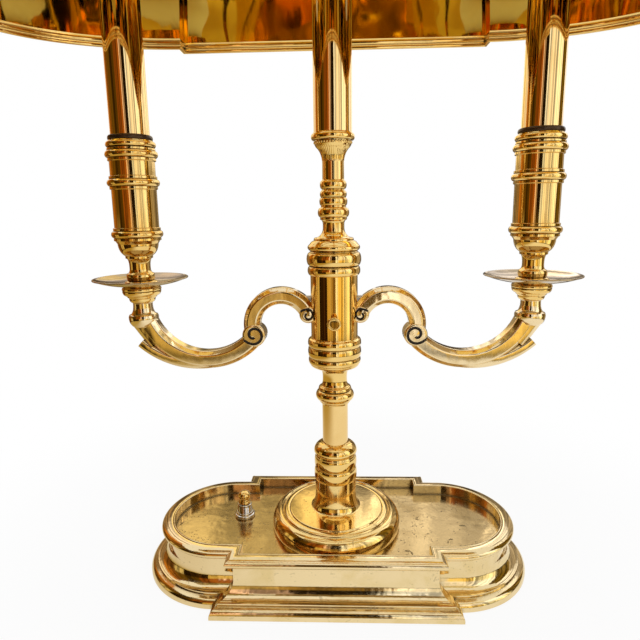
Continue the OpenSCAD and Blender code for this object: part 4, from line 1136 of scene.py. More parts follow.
class BOUILLOTTE_OT_upper_column(bpy.types.Operator):
    """Turn the baluster, the pearled cup, the column tube and its cap"""

    bl_idname = "bouillotte.upper_column"
    bl_label = "Upper column"

    def execute(self, context):
        s = settings()
        low = span("baluster")
        z, top, r = low.z0, low.z1, s.column_neck
        outline = cove(r, 5.6, z, 6.6, 14)
        outline += rise((r, z + 9), (r + 1.6, z + 11.9), 8)
        outline += [(r + 1.8, z + 12.4), (r + 1.8, z + 13.4)]
        outline += bead(r + 1.6, z + 13.6, z + 20, 1.75, 16)
        outline += [(r + 1.2, z + 20.4), (r + 1.2, top)]
        turned_piece(
            "baluster_brass", with_bore(outline, PIPE_BORE, z, top), "hub and arms",
            "polished brass", "baluster")

        cup = span("flared_cup")
        z, top = cup.z0, cup.z1
        neck = z + 17.4
        lip = top - 4.9
        pearl = lip - 1.5
        f = s.flare_radius
        outline = [(r + 1.2, z)]
        outline += bead(r + 1.2, z, z + 5.2, 0.95, 12)
        outline += bead(r + 0.9, z + 5.4, z + 9.4, 0.85, 12)
        outline += [(r + 0.3, z + 10.4)]
        outline += bead(r + 0.3, z + 10.8, z + 16.4, 1.4, 14)
        outline += [(r, neck), (r, neck + 10)]
        outline += bow((r + 8.4, neck + 10), 8.4, pearl - 1 - neck - 10, 180, 120, 14)
        outline += [(f - 2.2, pearl - 1), (f - 2.2, lip)]
        outline += bead(f - 1.4, lip, top - 0.6, 1.4, 14)
        socket = s.tube_radius + CLEARANCE
        outline += [(f - 1.5, top), (socket, top), (socket, top - 3.8)]
        outline += [(PIPE_BORE, top - 3.8), (PIPE_BORE, z)]
        piece = spin_outline("flared_cup_brass", outline)
        self.flute(piece, neck + 11.0, pearl - 1.4)
        soften(piece, 0.12)
        smooth(piece)
        count = 40
        let_go()
        bpy.ops.mesh.primitive_uv_sphere_add(
            segments=12, ring_count=8, radius=0.9 * MM, location=metres((f - 2.5, 0, pearl)))
        bpy.ops.object.transform_apply()
        pearls = bpy.context.object
        bpy.ops.object.shade_smooth()
        bpy.ops.object.mode_set(mode="EDIT")
        bpy.ops.mesh.select_all(action="SELECT")
        bpy.ops.mesh.spin(
            steps=count - 1, dupli=True, angle=2 * math.pi * (count - 1) / count,
            center=(0, 0, 0), axis=(0, 0, 1))
        bpy.ops.object.mode_set(mode="OBJECT")
        let_go()
        pearls.select_set(True)
        piece.select_set(True)
        bpy.context.view_layer.objects.active = piece
        bpy.ops.object.join()
        finish_with(piece, "polished brass")
        fit(piece, "hub and arms", "flared_cup")

        tube = span("column_tube")
        outline = tube_outline(s, tube)
        turned_piece(
            "column_tube_brass", outline, "hub and arms", "brass tube",
            "column_tube", steps=128, edge=0.1)

        cap = span("column_cap")
        z, high = tube.z1, cap.z1
        inside = s.tube_radius - s.tube_wall - CLEARANCE
        rod = s.rod_radius
        outline = [(inside, z - 6), (inside, z), (s.tube_radius + 1.0, z)]
        outline += bead(s.tube_radius + 0.4, z, z + 3, 0.8, 10)
        outline += bow((rod + 3.4, z + 3.2), s.tube_radius - rod - 3.6, 2.6, 10, 90, 8)
        outline += [(rod + 3.2, z + 6), (rod + 3.2, high - 0.6), (rod + 2.6, high)]
        turned_piece(
            "column_cap_brass", with_bore(outline, rod + 0.06, z - 6, high), "hub and arms",
            "polished brass", "column_cap")

        screw = span("cap_screw")
        out = -screw.y0
        outline = [(0, -screw.y1), (1.5, -screw.y1), (1.5, out - 4.2), (2.6, out - 4.2)]
        outline += bead(4.0, out - 3.4, out - 0.4, 0.9, 10)
        outline += [(3.0, out), (0, out)]
        turned_piece(
            "cap_screw_brass", outline, "cap screw", "polished brass",
            "cap_screw", (0, 0, (screw.z0 + screw.z1) / 2), 48, closed=False, forward=True,
            edge=0.1)
        return {"FINISHED"}

    def flute(self, piece, low, high):
        """Pulls every other column of the flare inwards, for its engraved flutes."""
        def fluted(vertex):
            place = vertex.co / MM
            column = round(math.atan2(place.y, place.x) / (2 * math.pi) * TURN_STEPS)
            outside = math.hypot(place.x, place.y) > 6.5
            return low < place.z < high and outside and column % 2 == 0

        take(piece)
        bpy.ops.object.mode_set(mode="EDIT")
        choose(piece, fluted)
        bpy.ops.transform.resize(value=(0.972, 0.972, 1), center_override=(0, 0, 0))
        bpy.ops.object.mode_set(mode="OBJECT")


# ---- arms ----

def polar(centre, radius, degrees):
    """A point on a circle in the arm's plane."""
    angle = math.radians(degrees)
    return (centre[0] + radius * math.cos(angle), centre[1] + radius * math.sin(angle))


def section_face(name, place, along, thickness, width, chamfer):
    """A bevelled bar's end face at a point of the arm's plane, across a direction."""
    let_go()
    bpy.ops.mesh.primitive_plane_add(size=1.0, location=(0, 0, 0))
    piece = newest(name)
    bpy.ops.object.mode_set(mode="EDIT")
    bpy.ops.mesh.select_all(action="SELECT")
    bpy.ops.transform.resize(value=(thickness * MM, width * MM, 1), center_override=(0, 0, 0))
    bpy.ops.mesh.bevel(offset=chamfer * MM, affect="VERTICES", clamp_overlap=False)
    bpy.ops.mesh.select_all(action="SELECT")
    bpy.ops.mesh.bevel(offset=0.7 * MM, segments=3, affect="VERTICES", clamp_overlap=True)
    bpy.ops.object.mode_set(mode="OBJECT")
    piece.rotation_euler = (0, -math.radians(along), 0)
    piece.location = metres((place[0], 0, place[1]))
    bpy.ops.object.transform_apply()
    bpy.ops.object.mode_set(mode="EDIT")
    bpy.ops.mesh.select_all(action="SELECT")
    return piece


def bent_bar(name, centre, radius, thickness, start, end, width, chamfer, steps):
    """A bevelled bar bent round a centre in the arm's plane."""
    piece = section_face(name, polar(centre, radius, start), start, thickness, width, chamfer)
    bpy.ops.mesh.extrude_region_move()
    middle = metres((centre[0], 0, centre[1]))
    turn = math.radians(end - start)
    bpy.ops.mesh.spin(
        steps=steps, angle=abs(turn), center=middle, axis=(0, 1 if turn > 0 else -1, 0))
    bpy.ops.mesh.select_all(action="SELECT")
    bpy.ops.mesh.remove_doubles(threshold=0.001 * MM)
    drop_inner_faces(piece)
    weld(piece)
    return piece


def drop_inner_faces(piece):
    """Deletes faces that close a tube off inside."""
    mesh = bmesh.from_edit_mesh(piece.data)
    for face in mesh.faces:
        face.select = all(len(edge.link_faces) > 2 for edge in face.edges)
    bmesh.update_edit_mesh(piece.data)
    if any(face.select for face in mesh.faces):
        bpy.ops.mesh.delete(type="ONLY_FACE")


def scroll_disc(name, centre, radius, half_width):
    """A disc on edge with rolled rims."""
    roll = 1.7
    outline = [(0, -half_width), (radius - 1.9, -half_width)]
    outline += bow((radius - roll, roll - half_width), roll, roll, -90, 0, 6)
    outline += bow((radius - roll, half_width - roll), roll, roll, 0, 90, 6)
    outline += [(radius - 1.9, half_width), (0, half_width)]
    return spin_outline(name, outline, (centre[0], 0, centre[1]), 72, False, forward=True)


def spiral_cutter(name, centre, turns, width, face, depth):
    """A ribbon along a spiral, given as (degrees, radius), that cuts a groove in one face."""
    points = []
    for (a0, r0), (a1, r1) in zip(turns, turns[1:]):
        count = max(2, int(abs(a1 - a0) / 9))
        for i in range(count):
            share = i / count
            points.append(polar(centre, r0 + (r1 - r0) * share, a0 + (a1 - a0) * share))
    points.append(polar(centre, turns[-1][1], turns[-1][0]))
    line = [(x, face, z) for x, z in points]
    piece = start_line(name, line[0])
    draw_on(line[1:], line[0])
    bpy.ops.mesh.select_all(action="SELECT")
    bpy.ops.mesh.extrude_region_move(TRANSFORM_OT_translate={"value": (0, depth * MM, 0)})
    apply_modifier(
        piece, "SOLIDIFY", thickness=width * MM, offset=0.0, use_even_offset=True)
    bpy.ops.object.mode_set(mode="EDIT")
    bpy.ops.mesh.select_all(action="SELECT")
    bpy.ops.mesh.normals_make_consistent(inside=False)
    bpy.ops.object.mode_set(mode="OBJECT")
    return piece


# the grooves of the two scrolls, as (degrees, radius in millimetres)
BIG_SPIRAL = (
    (-12, 8.6), (-35, 6.9), (-65, 6.1), (-110, 5.8), (-160, 5.7), (-210, 5.6), (-260, 5.3),
    (-300, 4.5), (-340, 3.5), (-385, 2.6), (-430, 1.9), (-470, 1.2))
SMALL_SPIRAL = (
    (24, 5.6), (55, 4.4), (95, 3.9), (140, 3.5), (185, 3.2), (230, 3.1), (275, 2.9), (320, 2.4),
    (360, 1.7), (410, 1.0))


class BOUILLOTTE_OT_arms(bpy.types.Operator):
    """Bend the two scrolled arms, cut their volutes and turn their knuckles"""

    bl_idname = "bouillotte.arms"
    bl_label = "Arms"

    def execute(self, context):
        s = settings()
        hub = span("hub_sleeve")
        support = span("pan_support_right")
        reach = (support.x0 + support.x1) / 2
        hump = (s.hub_radius + s.hump_radius + 0.2, hub.z0 + 9)
        scroll = polar(hump, s.hump_radius - 0.2, -20)
        small = (s.hub_radius + 1.8, hump[1] + 7.6)
        sweep = (scroll[0] + 34.4, scroll[1] + 27)
        leaf = (sweep[0] + 6, sweep[1] + 12.2)
        knuckle = sweep[1] - 14.4
        foot = (reach - 9.4, knuckle - 18)
        half = s.arm_width / 2

        arm = bent_bar("arm_right_brass", sweep, s.sweep_radius, s.sweep_thickness, 220, 336,
                       s.arm_width, 3.0, 64)
        straight = section_face("rise", foot, 55 - 90, s.sweep_thickness, s.arm_width - 0.2, 3.0)
        direction = polar((0, 0), 19.5, 55)
        bpy.ops.mesh.extrude_region_move(
            TRANSFORM_OT_translate={"value": metres((direction[0], 0, direction[1]))})
        weld(straight)
        parts = [
            straight,
            bent_bar("hump", hump, s.hump_radius, s.arm_thickness, 150, -19, s.arm_width - 0.4,
                     3.0, 64),
            bent_bar("leaf", leaf, 64.0 - 3.7, 7.4, 250, 312.5, s.arm_width - 2, 1.8, 36),
            scroll_disc("scroll", scroll, s.scroll_radius, half + 0.3),
            scroll_disc("small scroll", small, s.small_scroll_radius, half + 0.3),
        ]
        outline = [(0, knuckle - 7)] + bow((5.3, knuckle), 5.0, 7.0, -80, 6, 14)
        outline += [(9.8, knuckle + 2)]
        outline += cove(6.7, 3.1, knuckle + 2, 6.6, 10)
        outline += [(6.7, support.z0 - 0.4), (7.0, support.z0), (0, support.z0)]
        parts.append(spin_outline("knuckle", outline, (reach, 0, 0), 72, False))
        for part in [arm] + parts:
            finish_with(part, "arm brass", "groove grime")
        for part in parts:
            combine(arm, part, "UNION")
        drill(arm, s.hub_radius + 0.01, 80, (0, 0, hump[1]), 128)
        for turns, middle, width in ((BIG_SPIRAL, scroll, 1.9), (SMALL_SPIRAL, small, 1.5)):
            for face, depth in ((-half - 1.3, 2.2), (half + 1.3, -2.2)):
                cutter = spiral_cutter("groove", middle, turns, width, face, depth)
                # the cut groove faces are painted dark: dirt and painted shade in the grooves
                finish_with(cutter, "groove grime")
                combine(arm, cutter, "DIFFERENCE")
        mend(arm)
        soften(arm, 0.22, 48, 2)
        left = mirrored_copy(arm, "arm_left_brass")
        for piece, node in ((arm, "arm_right"), (left, "arm_left")):
            smooth(piece, 30)
            fit(piece, "hub and arms", node)
        return {"FINISHED"}


# ---- candles ----

class BOUILLOTTE_OT_candles(bpy.types.Operator):
    """Turn the pan supports, drip pans, candle cups, dark rings and candle tubes"""

    bl_idname = "bouillotte.candles"
    bl_label = "Candles"

    def execute(self, context):
        s = settings()
        support = span("pan_support_right")
        reach = (support.x0 + support.x1) / 2
        z, pan_z = support.z0, support.z1
        outline = [(6.9, z)] + turn_up((7.0, z + 0.2), (9.0, z + 3.2), 8)
        outline += [(10, z + 4), (10.4, z + 5)]
        outline += turn_up((10.4, z + 5), (13.2, z + 8.4), 10)
        outline += bead(12.6, z + 8.6, z + 11.0, 0.8, 8)
        outline += [(11.6, pan_z - 0.6), (11.6, pan_z)]
        turned_pair(
            "pan_support", "brass", with_bore(outline, CANDLE_BORE, z, pan_z),
            "polished brass", reach)

        pan = span("drip_pan_right")
        sheet = 1.0
        lift = pan.z1 - pan.z0 - sheet
        steps = 14
        under = []
        for i in range(steps + 1):
            under.append((12 + (s.pan_radius - 13) * i / steps, pan.z0 + lift * (i / steps) ** 2))
        over = [(r, h + sheet) for r, h in reversed(under)]
        rim = bow((s.pan_radius - 0.6, pan.z1 - 0.5), 0.6, 0.5, -80, 80, 6)
        outline = [(CANDLE_BORE, pan.z0)] + under + rim + over
        outline += [(CANDLE_BORE, pan.z0 + sheet)]
        # the pans take the darker brass, as painted shade
        turned_pair(
            "drip_pan", "brass", outline, "pan brass", reach, 128, edge=0.1)

        cup = span("candle_cup_right")
        z, top = cup.z0, cup.z1
        r = s.cup_radius
        floor = span("candle_tube_right").z0
        outline = [(11, z), (11.2, z + 0.8), (10.6, z + 1.6), (9.3, z + 2.2)]
        outline += bead(8.9, z + 2.4, z + 7.0, 0.7, 10)
        outline += cove(7.1, 1.7, z + 7.2, 3.2, 10)
        outline += rise((7.1, z + 12.2), (8.7, z + 17.6), 10)
        outline += [(9.2, z + 17.8), (9.2, z + 18.8)]
        outline += bow((r - 8, z + 28.4), 6.8, 9.6, -68, -4, 16)
        outline += self.cup_bead(s, z + 34.2)
        outline += [(r, z + 41), (r, z + 61.6)]
        outline += self.cup_bead(s, z + 68.6)
        outline += [(r, z + 74.2), (r, z + 80.6)]
        outline += self.cup_bead(s, top - 8.8, 3.8)
        outline += bead(r, top - 4.4, top - 0.6, 1.45, 12)
        socket = s.tube_radius + CLEARANCE
        outline += [(r - 0.3, top), (socket, top), (socket, floor)]
        outline += [(8.2, floor), (8.2, z + 20), (CANDLE_BORE, z + 20), (CANDLE_BORE, z)]
        turned_pair(
            "candle_cup", "brass", outline, "polished brass", reach, edge=0.18)

        ring = span("dark_ring_right")
        wide = half_depth("dark_ring_right")
        outline = bead(wide - 1.1, ring.z0, ring.z1, 1.1)
        outline = with_bore(outline, socket, ring.z0, ring.z1)
        turned_pair(
            "dark_ring", "piece", outline, "darkened brass", reach, edge=0.1)

        tube = span("candle_tube_right")
        outline = tube_outline(s, tube)
        turned_pair(
            "candle_tube", "brass", outline, "brass tube", reach, 128, edge=0.2)

        holder = span("lamp_holder_right")
        wide = half_depth("lamp_holder_right")
        z, top = holder.z0, holder.z1
        outline = [(CANDLE_BORE, z), (wide - 0.8, z), (wide, z + 0.8), (wide, top - 6)]
        outline += bead(wide - 0.5, top - 6, top - 3, 0.5, 6)
        outline += [(wide - 0.2, top - 3), (wide - 0.2, top - 0.8), (wide - 1, top), (7.2, top)]
        outline += [(7.2, z + 9), (CANDLE_BORE, z + 9)]
        turned_pair("lamp_holder", "piece", outline, "porcelain", reach, 72)

        bulb = span("bulb_right")
        z = top + 0.3
        tall = bulb.z1 - z
        wide = z + tall * 0.36
        fat = s.bulb_radius
        neck = 7.6
        outline = [(0, bulb.z0), (4, bulb.z0), (6.8, bulb.z0 + 2.4), (6.8, z)]
        for i in range(17):
            share = i / 16
            outline.append((
                neck + (fat - neck) * (1 - math.cos(math.pi * share)) / 2,
                z + (wide - z) * share))
        outline += bow((0, wide), fat, tall * 0.64, 0, 90, 28)[1:]
        turned_pair("bulb", "glass", outline, "frosted glass", reach, 72, False)
        return {"FINISHED"}

    def cup_bead(self, s, middle, end=4.2):
        """A bead between two fillets."""
        r = s.cup_radius
        outline = [(r, middle - 4.6), (r + 0.9, middle - 4.2), (r + 0.9, middle - 2.6)]
        outline += bead(r + 0.4, middle - 2.4, middle + 2.4, s.bead_out - 0.4, 14)
        outline += [(r + 0.9, middle + 2.6), (r + 0.9, middle + end), (r, middle + end + 0.3)]
        return outline


# ---- shade ----

class BOUILLOTTE_OT_shade(bpy.types.Operator):
    """Form the oblong shade ring by ring, and turn its rod and finial"""

    bl_idname = "bouillotte.shade"
    bl_label = "Shade"

    def execute(self, context):
        s = settings()
        shell = span("shade_shell")
        low, top = shell.z0, shell.z1
        t = s.sheet
        lean = 8.0
        shoulder = 11.0
        flange = 12.0
        hem = 8.0
        bend = top - shoulder - 1
        wide = lean + shoulder
        section = [(1.3, low)] + bow((1.3, low + 1.3), -1.3, 1.3, -80, 0, 8)
        section += [(0, low + hem - 1.3)] + bow((1.3, low + hem - 1.3), -1.3, 1.3, 0, 60, 6)
        section += [(0.75, low + hem + 0.2)]
        section += bow((wide, bend), -shoulder, top - bend, 0, 90, 14)
        section += [(wide + flange, top), (wide + flange, top - t)]
        section += bow((wide, bend), t - shoulder, top - t - bend, 90, 0, 14)
        section += [(1.95, low + hem)] + bow((1.3, low + hem - 2.0), 1.3, 2.3, 35, -46, 6)
        section += [(1.7, low + 3.76)] + bow((1.3, low + 1.9), 1.3, 1.9, 46, -80, 9)
        section = tidy(section, 0.05)
        first = section[0]
        plan = Plan(
            "shade_sheet",
            (s.shade_block_half_length - first[0], s.shade_block_half_depth - first[0]),
            (s.shade_wing_length - first[0], s.shade_wing_half_depth - first[0]),
            s.shade_wing_centre, first[1], False, 72)
        for here, there in zip(section, section[1:] + section[:1]):
            plan.step(here[0] - there[0], there[1])
        piece = plan.piece
        weld(piece, 0.01)
        soften(piece, 0.5, 30, 3)
        finish_with(piece, "sheet brass", "inner sheet brass", "polished brass")
        # faces that look inwards take the inner brass, brighter and deeper as painted reflection;
        # the hem takes polished brass
        for face in piece.data.polygons:
            inward = face.center.x * face.normal.x + face.center.y * face.normal.y < 0
            hemmed = face.center.z / MM < low + (hem + 0.1 if inward else 2.7)
            face.material_index = 2 if hemmed else int(inward)
        smooth(piece, 34)
        fit(piece, "shade", "shade_shell")

        rod = span("shade_rod")
        shoulder_z = span("shade_spider").z0 - 0.3
        r = s.rod_radius
        outline = [(0, rod.z0), (r - 0.5, rod.z0), (r, rod.z0 + 0.5), (r, shoulder_z - 3)]
        outline += [(r + 4.6, shoulder_z - 3), (r + 5, shoulder_z - 2.6), (r + 5, shoulder_z)]
        outline += [(3.0, shoulder_z), (3.0, rod.z1 - 0.4), (2.6, rod.z1), (0, rod.z1)]
        turned_piece(
            "shade_rod_steel", outline, "shade rod", "plated steel",
            "shade_rod", closed=False, steps=64)

        knob = span("finial")
        z = knob.z0
        h = (knob.z1 - z) / 10
        bore = 3.06
        outline = [(0, rod.z1 + 1.5), (bore, rod.z1 + 1.0), (bore, z), (8.4, z)]
        outline += bow((8.2, z + 0.3 * h), 0.6, 0.3 * h, -80, 90, 8)
        outline += cove(3.6, 3.2, z + 0.8 * h, 1.4 * h, 10)
        outline += bead(3.8, z + 2.4 * h, z + 3.1 * h, 1.6, 10)
        outline += bow((0, z + 5.6 * h), 8, 2.4 * h, -66, 66, 28)
        outline += bead(2.6, z + 7.9 * h, z + 8.5 * h, 1.2, 8)
        outline += bow((0, z + 9.2 * h), 2.9, 0.8 * h, -60, 90, 14)
        turned_piece(
            "finial_brass", outline, "finial", "polished brass", "finial",
            closed=False, edge=0.12)
        return {"FINISHED"}


# ---- carried-over nodes ----

CARRIED = (
    ("bottom_cover", "plated steel"), ("felt_pad", "felt"), ("cover_screws", "plated steel"),
    ("iron_weight", "cast iron"), ("cord_bush", "bakelite"), ("switch_case", "bakelite"),
    ("threaded_pipe", "plated steel"), ("pipe_nuts", "plated steel"),
    ("upper_pipe", "plated steel"), ("arm_screws", "plated steel"),
    ("candle_pipe_left", "plated steel"), ("candle_pipe_right", "plated steel"),
    ("shade_spider", "polished brass"), ("shade_rivets", "polished brass"))


class BOUILLOTTE_OT_fittings(bpy.types.Operator):
    """Give the hidden fittings their finishes"""

    bl_idname = "bouillotte.fittings"
    bl_label = "Fittings"

    def execute(self, context):
        for node, material in CARRIED:
            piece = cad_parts[node]
            if not piece.data.materials:
                piece.data.materials.append(None)
            for index in range(len(piece.data.materials)):
                piece.data.materials[index] = bpy.data.materials[material]
        return {"FINISHED"}


# ---- studio ----

# name, from and to in degrees round the lamp (0 in front, plus is right), height in
# millimetres, the height where the colour turns, colour below it, colour above it
CARDS = (
    ("card_back_left", -179, -148, 640, 335, (0.26, 0.20, 0.12), (1.02, 0.84, 0.46)),
    ("card_far_left", -148, -122, 640, 345, (0.30, 0.19, 0.09), (0.92, 0.81, 0.72)),
    ("card_left_orange", -122, -93, 640, 230, (0.19, 0.075, 0.012), (0.46, 0.17, 0.02)),
    ("card_left_olive", -93, -74, 640, 230, (0.52, 0.40, 0.16), (0.11, 0.055, 0.004)),
    ("card_left_dark", -74, -50, 640, 230, (0.030, 0.013, 0.001), (0.09, 0.045, 0.003)),
    ("card_left_brown", -50, -33, 640, 230, (0.05, 0.02, 0.003), (0.34, 0.10, 0.01)),
    ("card_left_amber", -33, -20, 640, 230, (0.60, 0.40, 0.10), (0.30, 0.09, 0.01)),
    ("card_centre_left", -20, -9, 640, 230, (0.62, 0.43, 0.15), (0.90, 0.62, 0.50)),
    ("card_centre", -9, 8, 640, 230, (0.34, 0.20, 0.045), (0.020, 0.011, 0.002)),
    ("card_centre_right", 8, 19, 640, 230, (1.5, 1.45, 1.4), (1.05, 1.1, 1.25)),
    ("card_right_gold", 19, 46, 640, 230, (0.95, 0.68, 0.20), (1.0, 0.94, 0.90)),
    ("card_right_cream", 46, 84, 640, 230, (1.25, 1.15, 0.78), (1.2, 1.2, 1.2)),
    ("card_right_brown", 84, 112, 640, 230, (0.24, 0.16, 0.04), (0.18, 0.11, 0.012)),
    ("card_far_right", 112, 148, 640, 365, (0.42, 0.35, 0.26), (1.25, 1.22, 1.25)),
    ("card_back_right", 148, 179, 640, 335, (0.26, 0.21, 0.15), (2.05, 1.9, 1.75)))
# name, centre, length and depth in millimetres and colour of the cards that hang in front
HIGH_CARDS = (
    ("card_high_left", (-560, -560, 900), 760, 520, (0.36, 0.26, 0.09)),
    ("card_high_centre", (60, -760, 860), 460, 560, (0.34, 0.23, 0.10)),
    ("card_high_right", (560, -560, 900), 620, 520, (0.80, 0.68, 0.42)))


def glow(name, turn, low, high):
    """A self-lit finish for a reflection card: two colours and upright streaks."""
    material = bpy.data.materials.new(name)
    tree = empty_tree(material)
    blend = 40
    place = add(tree, "ShaderNodeTexCoord", -1000, 0).outputs["Object"]
    height = add(tree, "ShaderNodeSeparateXYZ", -800, 200, {"Vector": place}).outputs["Z"]
    share = curve_to(tree, height, (turn - blend) * MM, (turn + blend) * MM, x=-600, y=200)
    colour = mixed(tree, share, low, high, -400, 200)
    streaks = mapped(tree, place, (16, 16, 0.9), x=-800, y=-200)
    streaks = noise(tree, streaks, 1.0, 4.0, 0.65, 0.2, -600, -200)
    strength = curve_to(tree, streaks, 0.37, 0.63, 0.28, 1.55, -400, -200)
    # painted shadow: each card turns darker along its foot, where it meets the floor
    card_foot_shade = curve_to(tree, height, 0.012, 0.045, 0.25, 1.0, -400, 0)
    strength = maths(tree, "MULTIPLY", strength, card_foot_shade, -200, -100)
    light = add(tree, "ShaderNodeEmission", 0, 0, {"Color": colour, "Strength": strength})
    add(tree, "ShaderNodeOutputMaterial", 200, 0, {"Surface": light.outputs["Emission"]})
    return material


def seen_share(tree, x, y):
    """One where the camera sees a thing directly, mirrored or through glass."""
    path = add(tree, "ShaderNodeLightPath", x, y).outputs
    seen = maths(tree, "MAXIMUM", path["Is Camera Ray"], path["Is Glossy Ray"], x + 200, y)
    seen = maths(tree, "MAXIMUM", seen, path["Is Transmission Ray"], x + 400, y)
    return seen, path["Is Glossy Ray"]


def facing(place, target):
    """The turn that points a card, a light or a camera from its place to a target."""
    aim = Vector(target) - Vector(place)
    return aim.to_track_quat("-Z", "Y").to_euler()


def hang_card(piece, name, turn, low, high):
    """Gives a card its glow and leaves it only in reflections."""
    piece.data.materials.append(glow(name, turn, low, high))
    piece.visible_camera = False
    piece.visible_diffuse = False
    piece.visible_shadow = False
    piece.visible_transmission = False


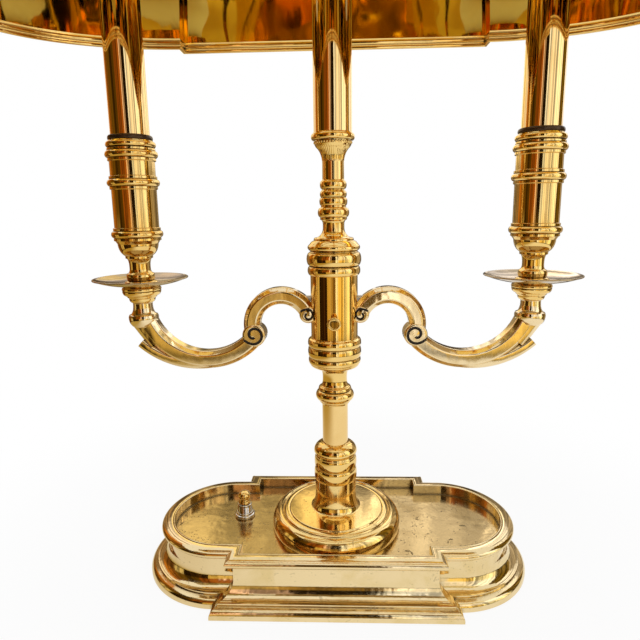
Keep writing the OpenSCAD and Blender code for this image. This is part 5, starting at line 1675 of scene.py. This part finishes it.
class BOUILLOTTE_OT_studio(bpy.types.Operator):
    """Set up the floor, the backdrop, the reflection cards, the lights and the camera"""

    bl_idname = "bouillotte.studio"
    bl_label = "Studio"

    def execute(self, context):
        scene = context.scene
        studio = scene.lamp_studio
        scene.view_settings.view_transform = "Standard"
        self.make_floor(studio)
        self.make_cards()
        self.make_world(scene)
        self.make_lamps()
        camera = bpy.data.cameras.new("camera")
        camera.lens = studio.focal_length
        camera.sensor_width = 36.0
        camera.shift_x = studio.shift_x
        camera.shift_y = studio.shift_y
        camera.clip_start = 0.01
        holder = bpy.data.objects.new("camera", camera)
        scene.collection.objects.link(holder)
        holder.location = (studio.camera_x, studio.camera_y, studio.camera_z)
        holder.rotation_euler = (studio.tilt, studio.roll, studio.pan)
        scene.camera = holder
        return {"FINISHED"}

    def make_floor(self, studio):
        """A wide floor that looks white, and warm where brass mirrors it."""
        let_go()
        bpy.ops.mesh.primitive_plane_add(size=12.0, location=(0, 0, -0.0002))
        floor = newest("studio_floor")
        bpy.ops.object.transform_apply()
        material, tree, shader = new_material("studio floor")
        shader.inputs["Base Color"].default_value = (*studio.floor, 1)
        shader.inputs["Roughness"].default_value = 0.9
        shader.inputs["Specular IOR Level"].default_value = 0.1
        seen, mirrored = seen_share(tree, -600, 200)
        place = add(tree, "ShaderNodeTexCoord", -800, 500).outputs["Object"]
        reach = add(tree, "ShaderNodeVectorMath", -600, 800, operation="LENGTH")
        tree.links.new(place, reach.inputs[0])
        share = curve_to(tree, reach.outputs["Value"], 0.16, 0.42, 0.90, 1.0, -400, 800)
        share = maths(tree, "MULTIPLY", seen, share, 0, 200)
        across = add(tree, "ShaderNodeSeparateXYZ", -600, 500, {"Vector": place}).outputs["X"]
        across = curve_to(tree, across, -0.34, 0.0, x=-400, y=500)
        warm = mixed(tree, across, (0.50, 0.36, 0.10), (1.0, 0.98, 0.94), -200, 500)
        shown = mixed(tree, mirrored, (1.0, 1.0, 1.0), warm, 0, 500)
        white = add(tree, "ShaderNodeEmission", 300, 250, {"Color": shown, "Strength": 1.0})
        mix = add(tree, "ShaderNodeMixShader", 500, 150, {"Fac": share})
        tree.links.new(shader.outputs["BSDF"], mix.inputs[1])
        tree.links.new(white.outputs["Emission"], mix.inputs[2])
        surface = [n for n in tree.nodes if n.type == "OUTPUT_MATERIAL"][0]
        tree.links.new(mix.outputs["Shader"], surface.inputs["Surface"])
        floor.data.materials.append(material)

    def make_cards(self):
        """Curved cards on edge round the lamp, which only its reflections show."""
        radius = 600.0
        for name, start, end, height, turn, low, high in CARDS:
            first = math.radians(start)
            piece = start_line(name, (radius * math.sin(first), -radius * math.cos(first), 0))
            bpy.ops.mesh.extrude_region_move(
                TRANSFORM_OT_translate={"value": (0, 0, height * MM)})
            bpy.ops.mesh.select_all(action="SELECT")
            bpy.ops.mesh.spin(
                steps=max(4, int((end - start) / 4)), angle=math.radians(end - start),
                center=(0, 0, 0), axis=(0, 0, -1))
            bpy.ops.object.mode_set(mode="OBJECT")
            hang_card(piece, name, turn, low, high)
        for name, centre, long, deep, colour in HIGH_CARDS:
            let_go()
            bpy.ops.mesh.primitive_plane_add(size=1.0, location=(0, 0, 0))
            piece = newest(name)
            piece.scale = (long * MM, deep * MM, 1)
            piece.location = metres(centre)
            piece.rotation_euler = facing(piece.location, (0, 0, 0.1))
            bpy.ops.object.transform_apply()
            hang_card(piece, name, 0, colour, colour)

    def make_world(self, scene):
        """White air round the lamp that lights it a little less than it shows."""
        world = bpy.data.worlds.new("studio air")
        scene.world = world
        tree = empty_tree(world)
        white_air = (1.0, 1.0, 1.0)
        white = add(tree, "ShaderNodeBackground", -100, 150, {
            "Color": white_air, "Strength": 1.0})
        soft = add(tree, "ShaderNodeBackground", -100, -50, {
            "Color": white_air, "Strength": 0.7})
        mix = add(tree, "ShaderNodeMixShader", 100, 0, {"Fac": seen_share(tree, -800, 0)[0]})
        tree.links.new(soft.outputs["Background"], mix.inputs[1])
        tree.links.new(white.outputs["Background"], mix.inputs[2])
        add(tree, "ShaderNodeOutputWorld", 300, 0, {"Surface": mix.outputs["Shader"]})

    def make_lamps(self):
        """Two soft boxes in front, a strong one to the right and a weaker one to the left."""
        for name, place, size, energy in (
                ("soft_box_right", (0.75, -0.85, 1.35), 0.6, 3.4),
                ("soft_box_left", (-0.95, -0.55, 1.35), 0.5, 2.0)):
            light = bpy.data.lights.new(name, "AREA")
            light.shape = "SQUARE"
            light.size = size
            light.energy = energy
            holder = bpy.data.objects.new(name, light)
            bpy.context.scene.collection.objects.link(holder)
            holder.location = place
            holder.rotation_euler = facing(place, (0, 0, 0.2))


# ---- the add-on ----

OPERATORS = (
    BOUILLOTTE_OT_finishes, BOUILLOTTE_OT_plinth, BOUILLOTTE_OT_switch, BOUILLOTTE_OT_column,
    BOUILLOTTE_OT_hub, BOUILLOTTE_OT_upper_column, BOUILLOTTE_OT_arms, BOUILLOTTE_OT_candles,
    BOUILLOTTE_OT_shade, BOUILLOTTE_OT_fittings, BOUILLOTTE_OT_studio)


class BOUILLOTTE_PT_panel(bpy.types.Panel):
    """Lists the steps of the lamp"""

    bl_idname = "BOUILLOTTE_PT_panel"
    bl_label = "Bouillotte lamp"
    bl_space_type = "VIEW_3D"
    bl_region_type = "UI"
    bl_category = "Lamp"

    def draw(self, context):
        for step in OPERATORS:
            self.layout.operator(step.bl_idname)


CLASSES = (LampSizes, LampColours, StudioSettings) + OPERATORS + (BOUILLOTTE_PT_panel,)


def register():
    for item in CLASSES:
        bpy.utils.register_class(item)
    bpy.types.Scene.lamp_sizes = bpy.props.PointerProperty(type=LampSizes)
    bpy.types.Scene.lamp_colours = bpy.props.PointerProperty(type=LampColours)
    bpy.types.Scene.lamp_studio = bpy.props.PointerProperty(type=StudioSettings)


def unregister():
    del bpy.types.Scene.lamp_studio
    del bpy.types.Scene.lamp_colours
    del bpy.types.Scene.lamp_sizes
    for item in reversed(CLASSES):
        bpy.utils.unregister_class(item)


def main():
    register()
    for name in ("finishes", "plinth", "switch", "column", "hub", "upper_column", "arms",
                 "candles", "shade", "fittings", "studio"):
        getattr(bpy.ops.bouillotte, name)()
    let_go()


if __name__ == "__main__":
    main()
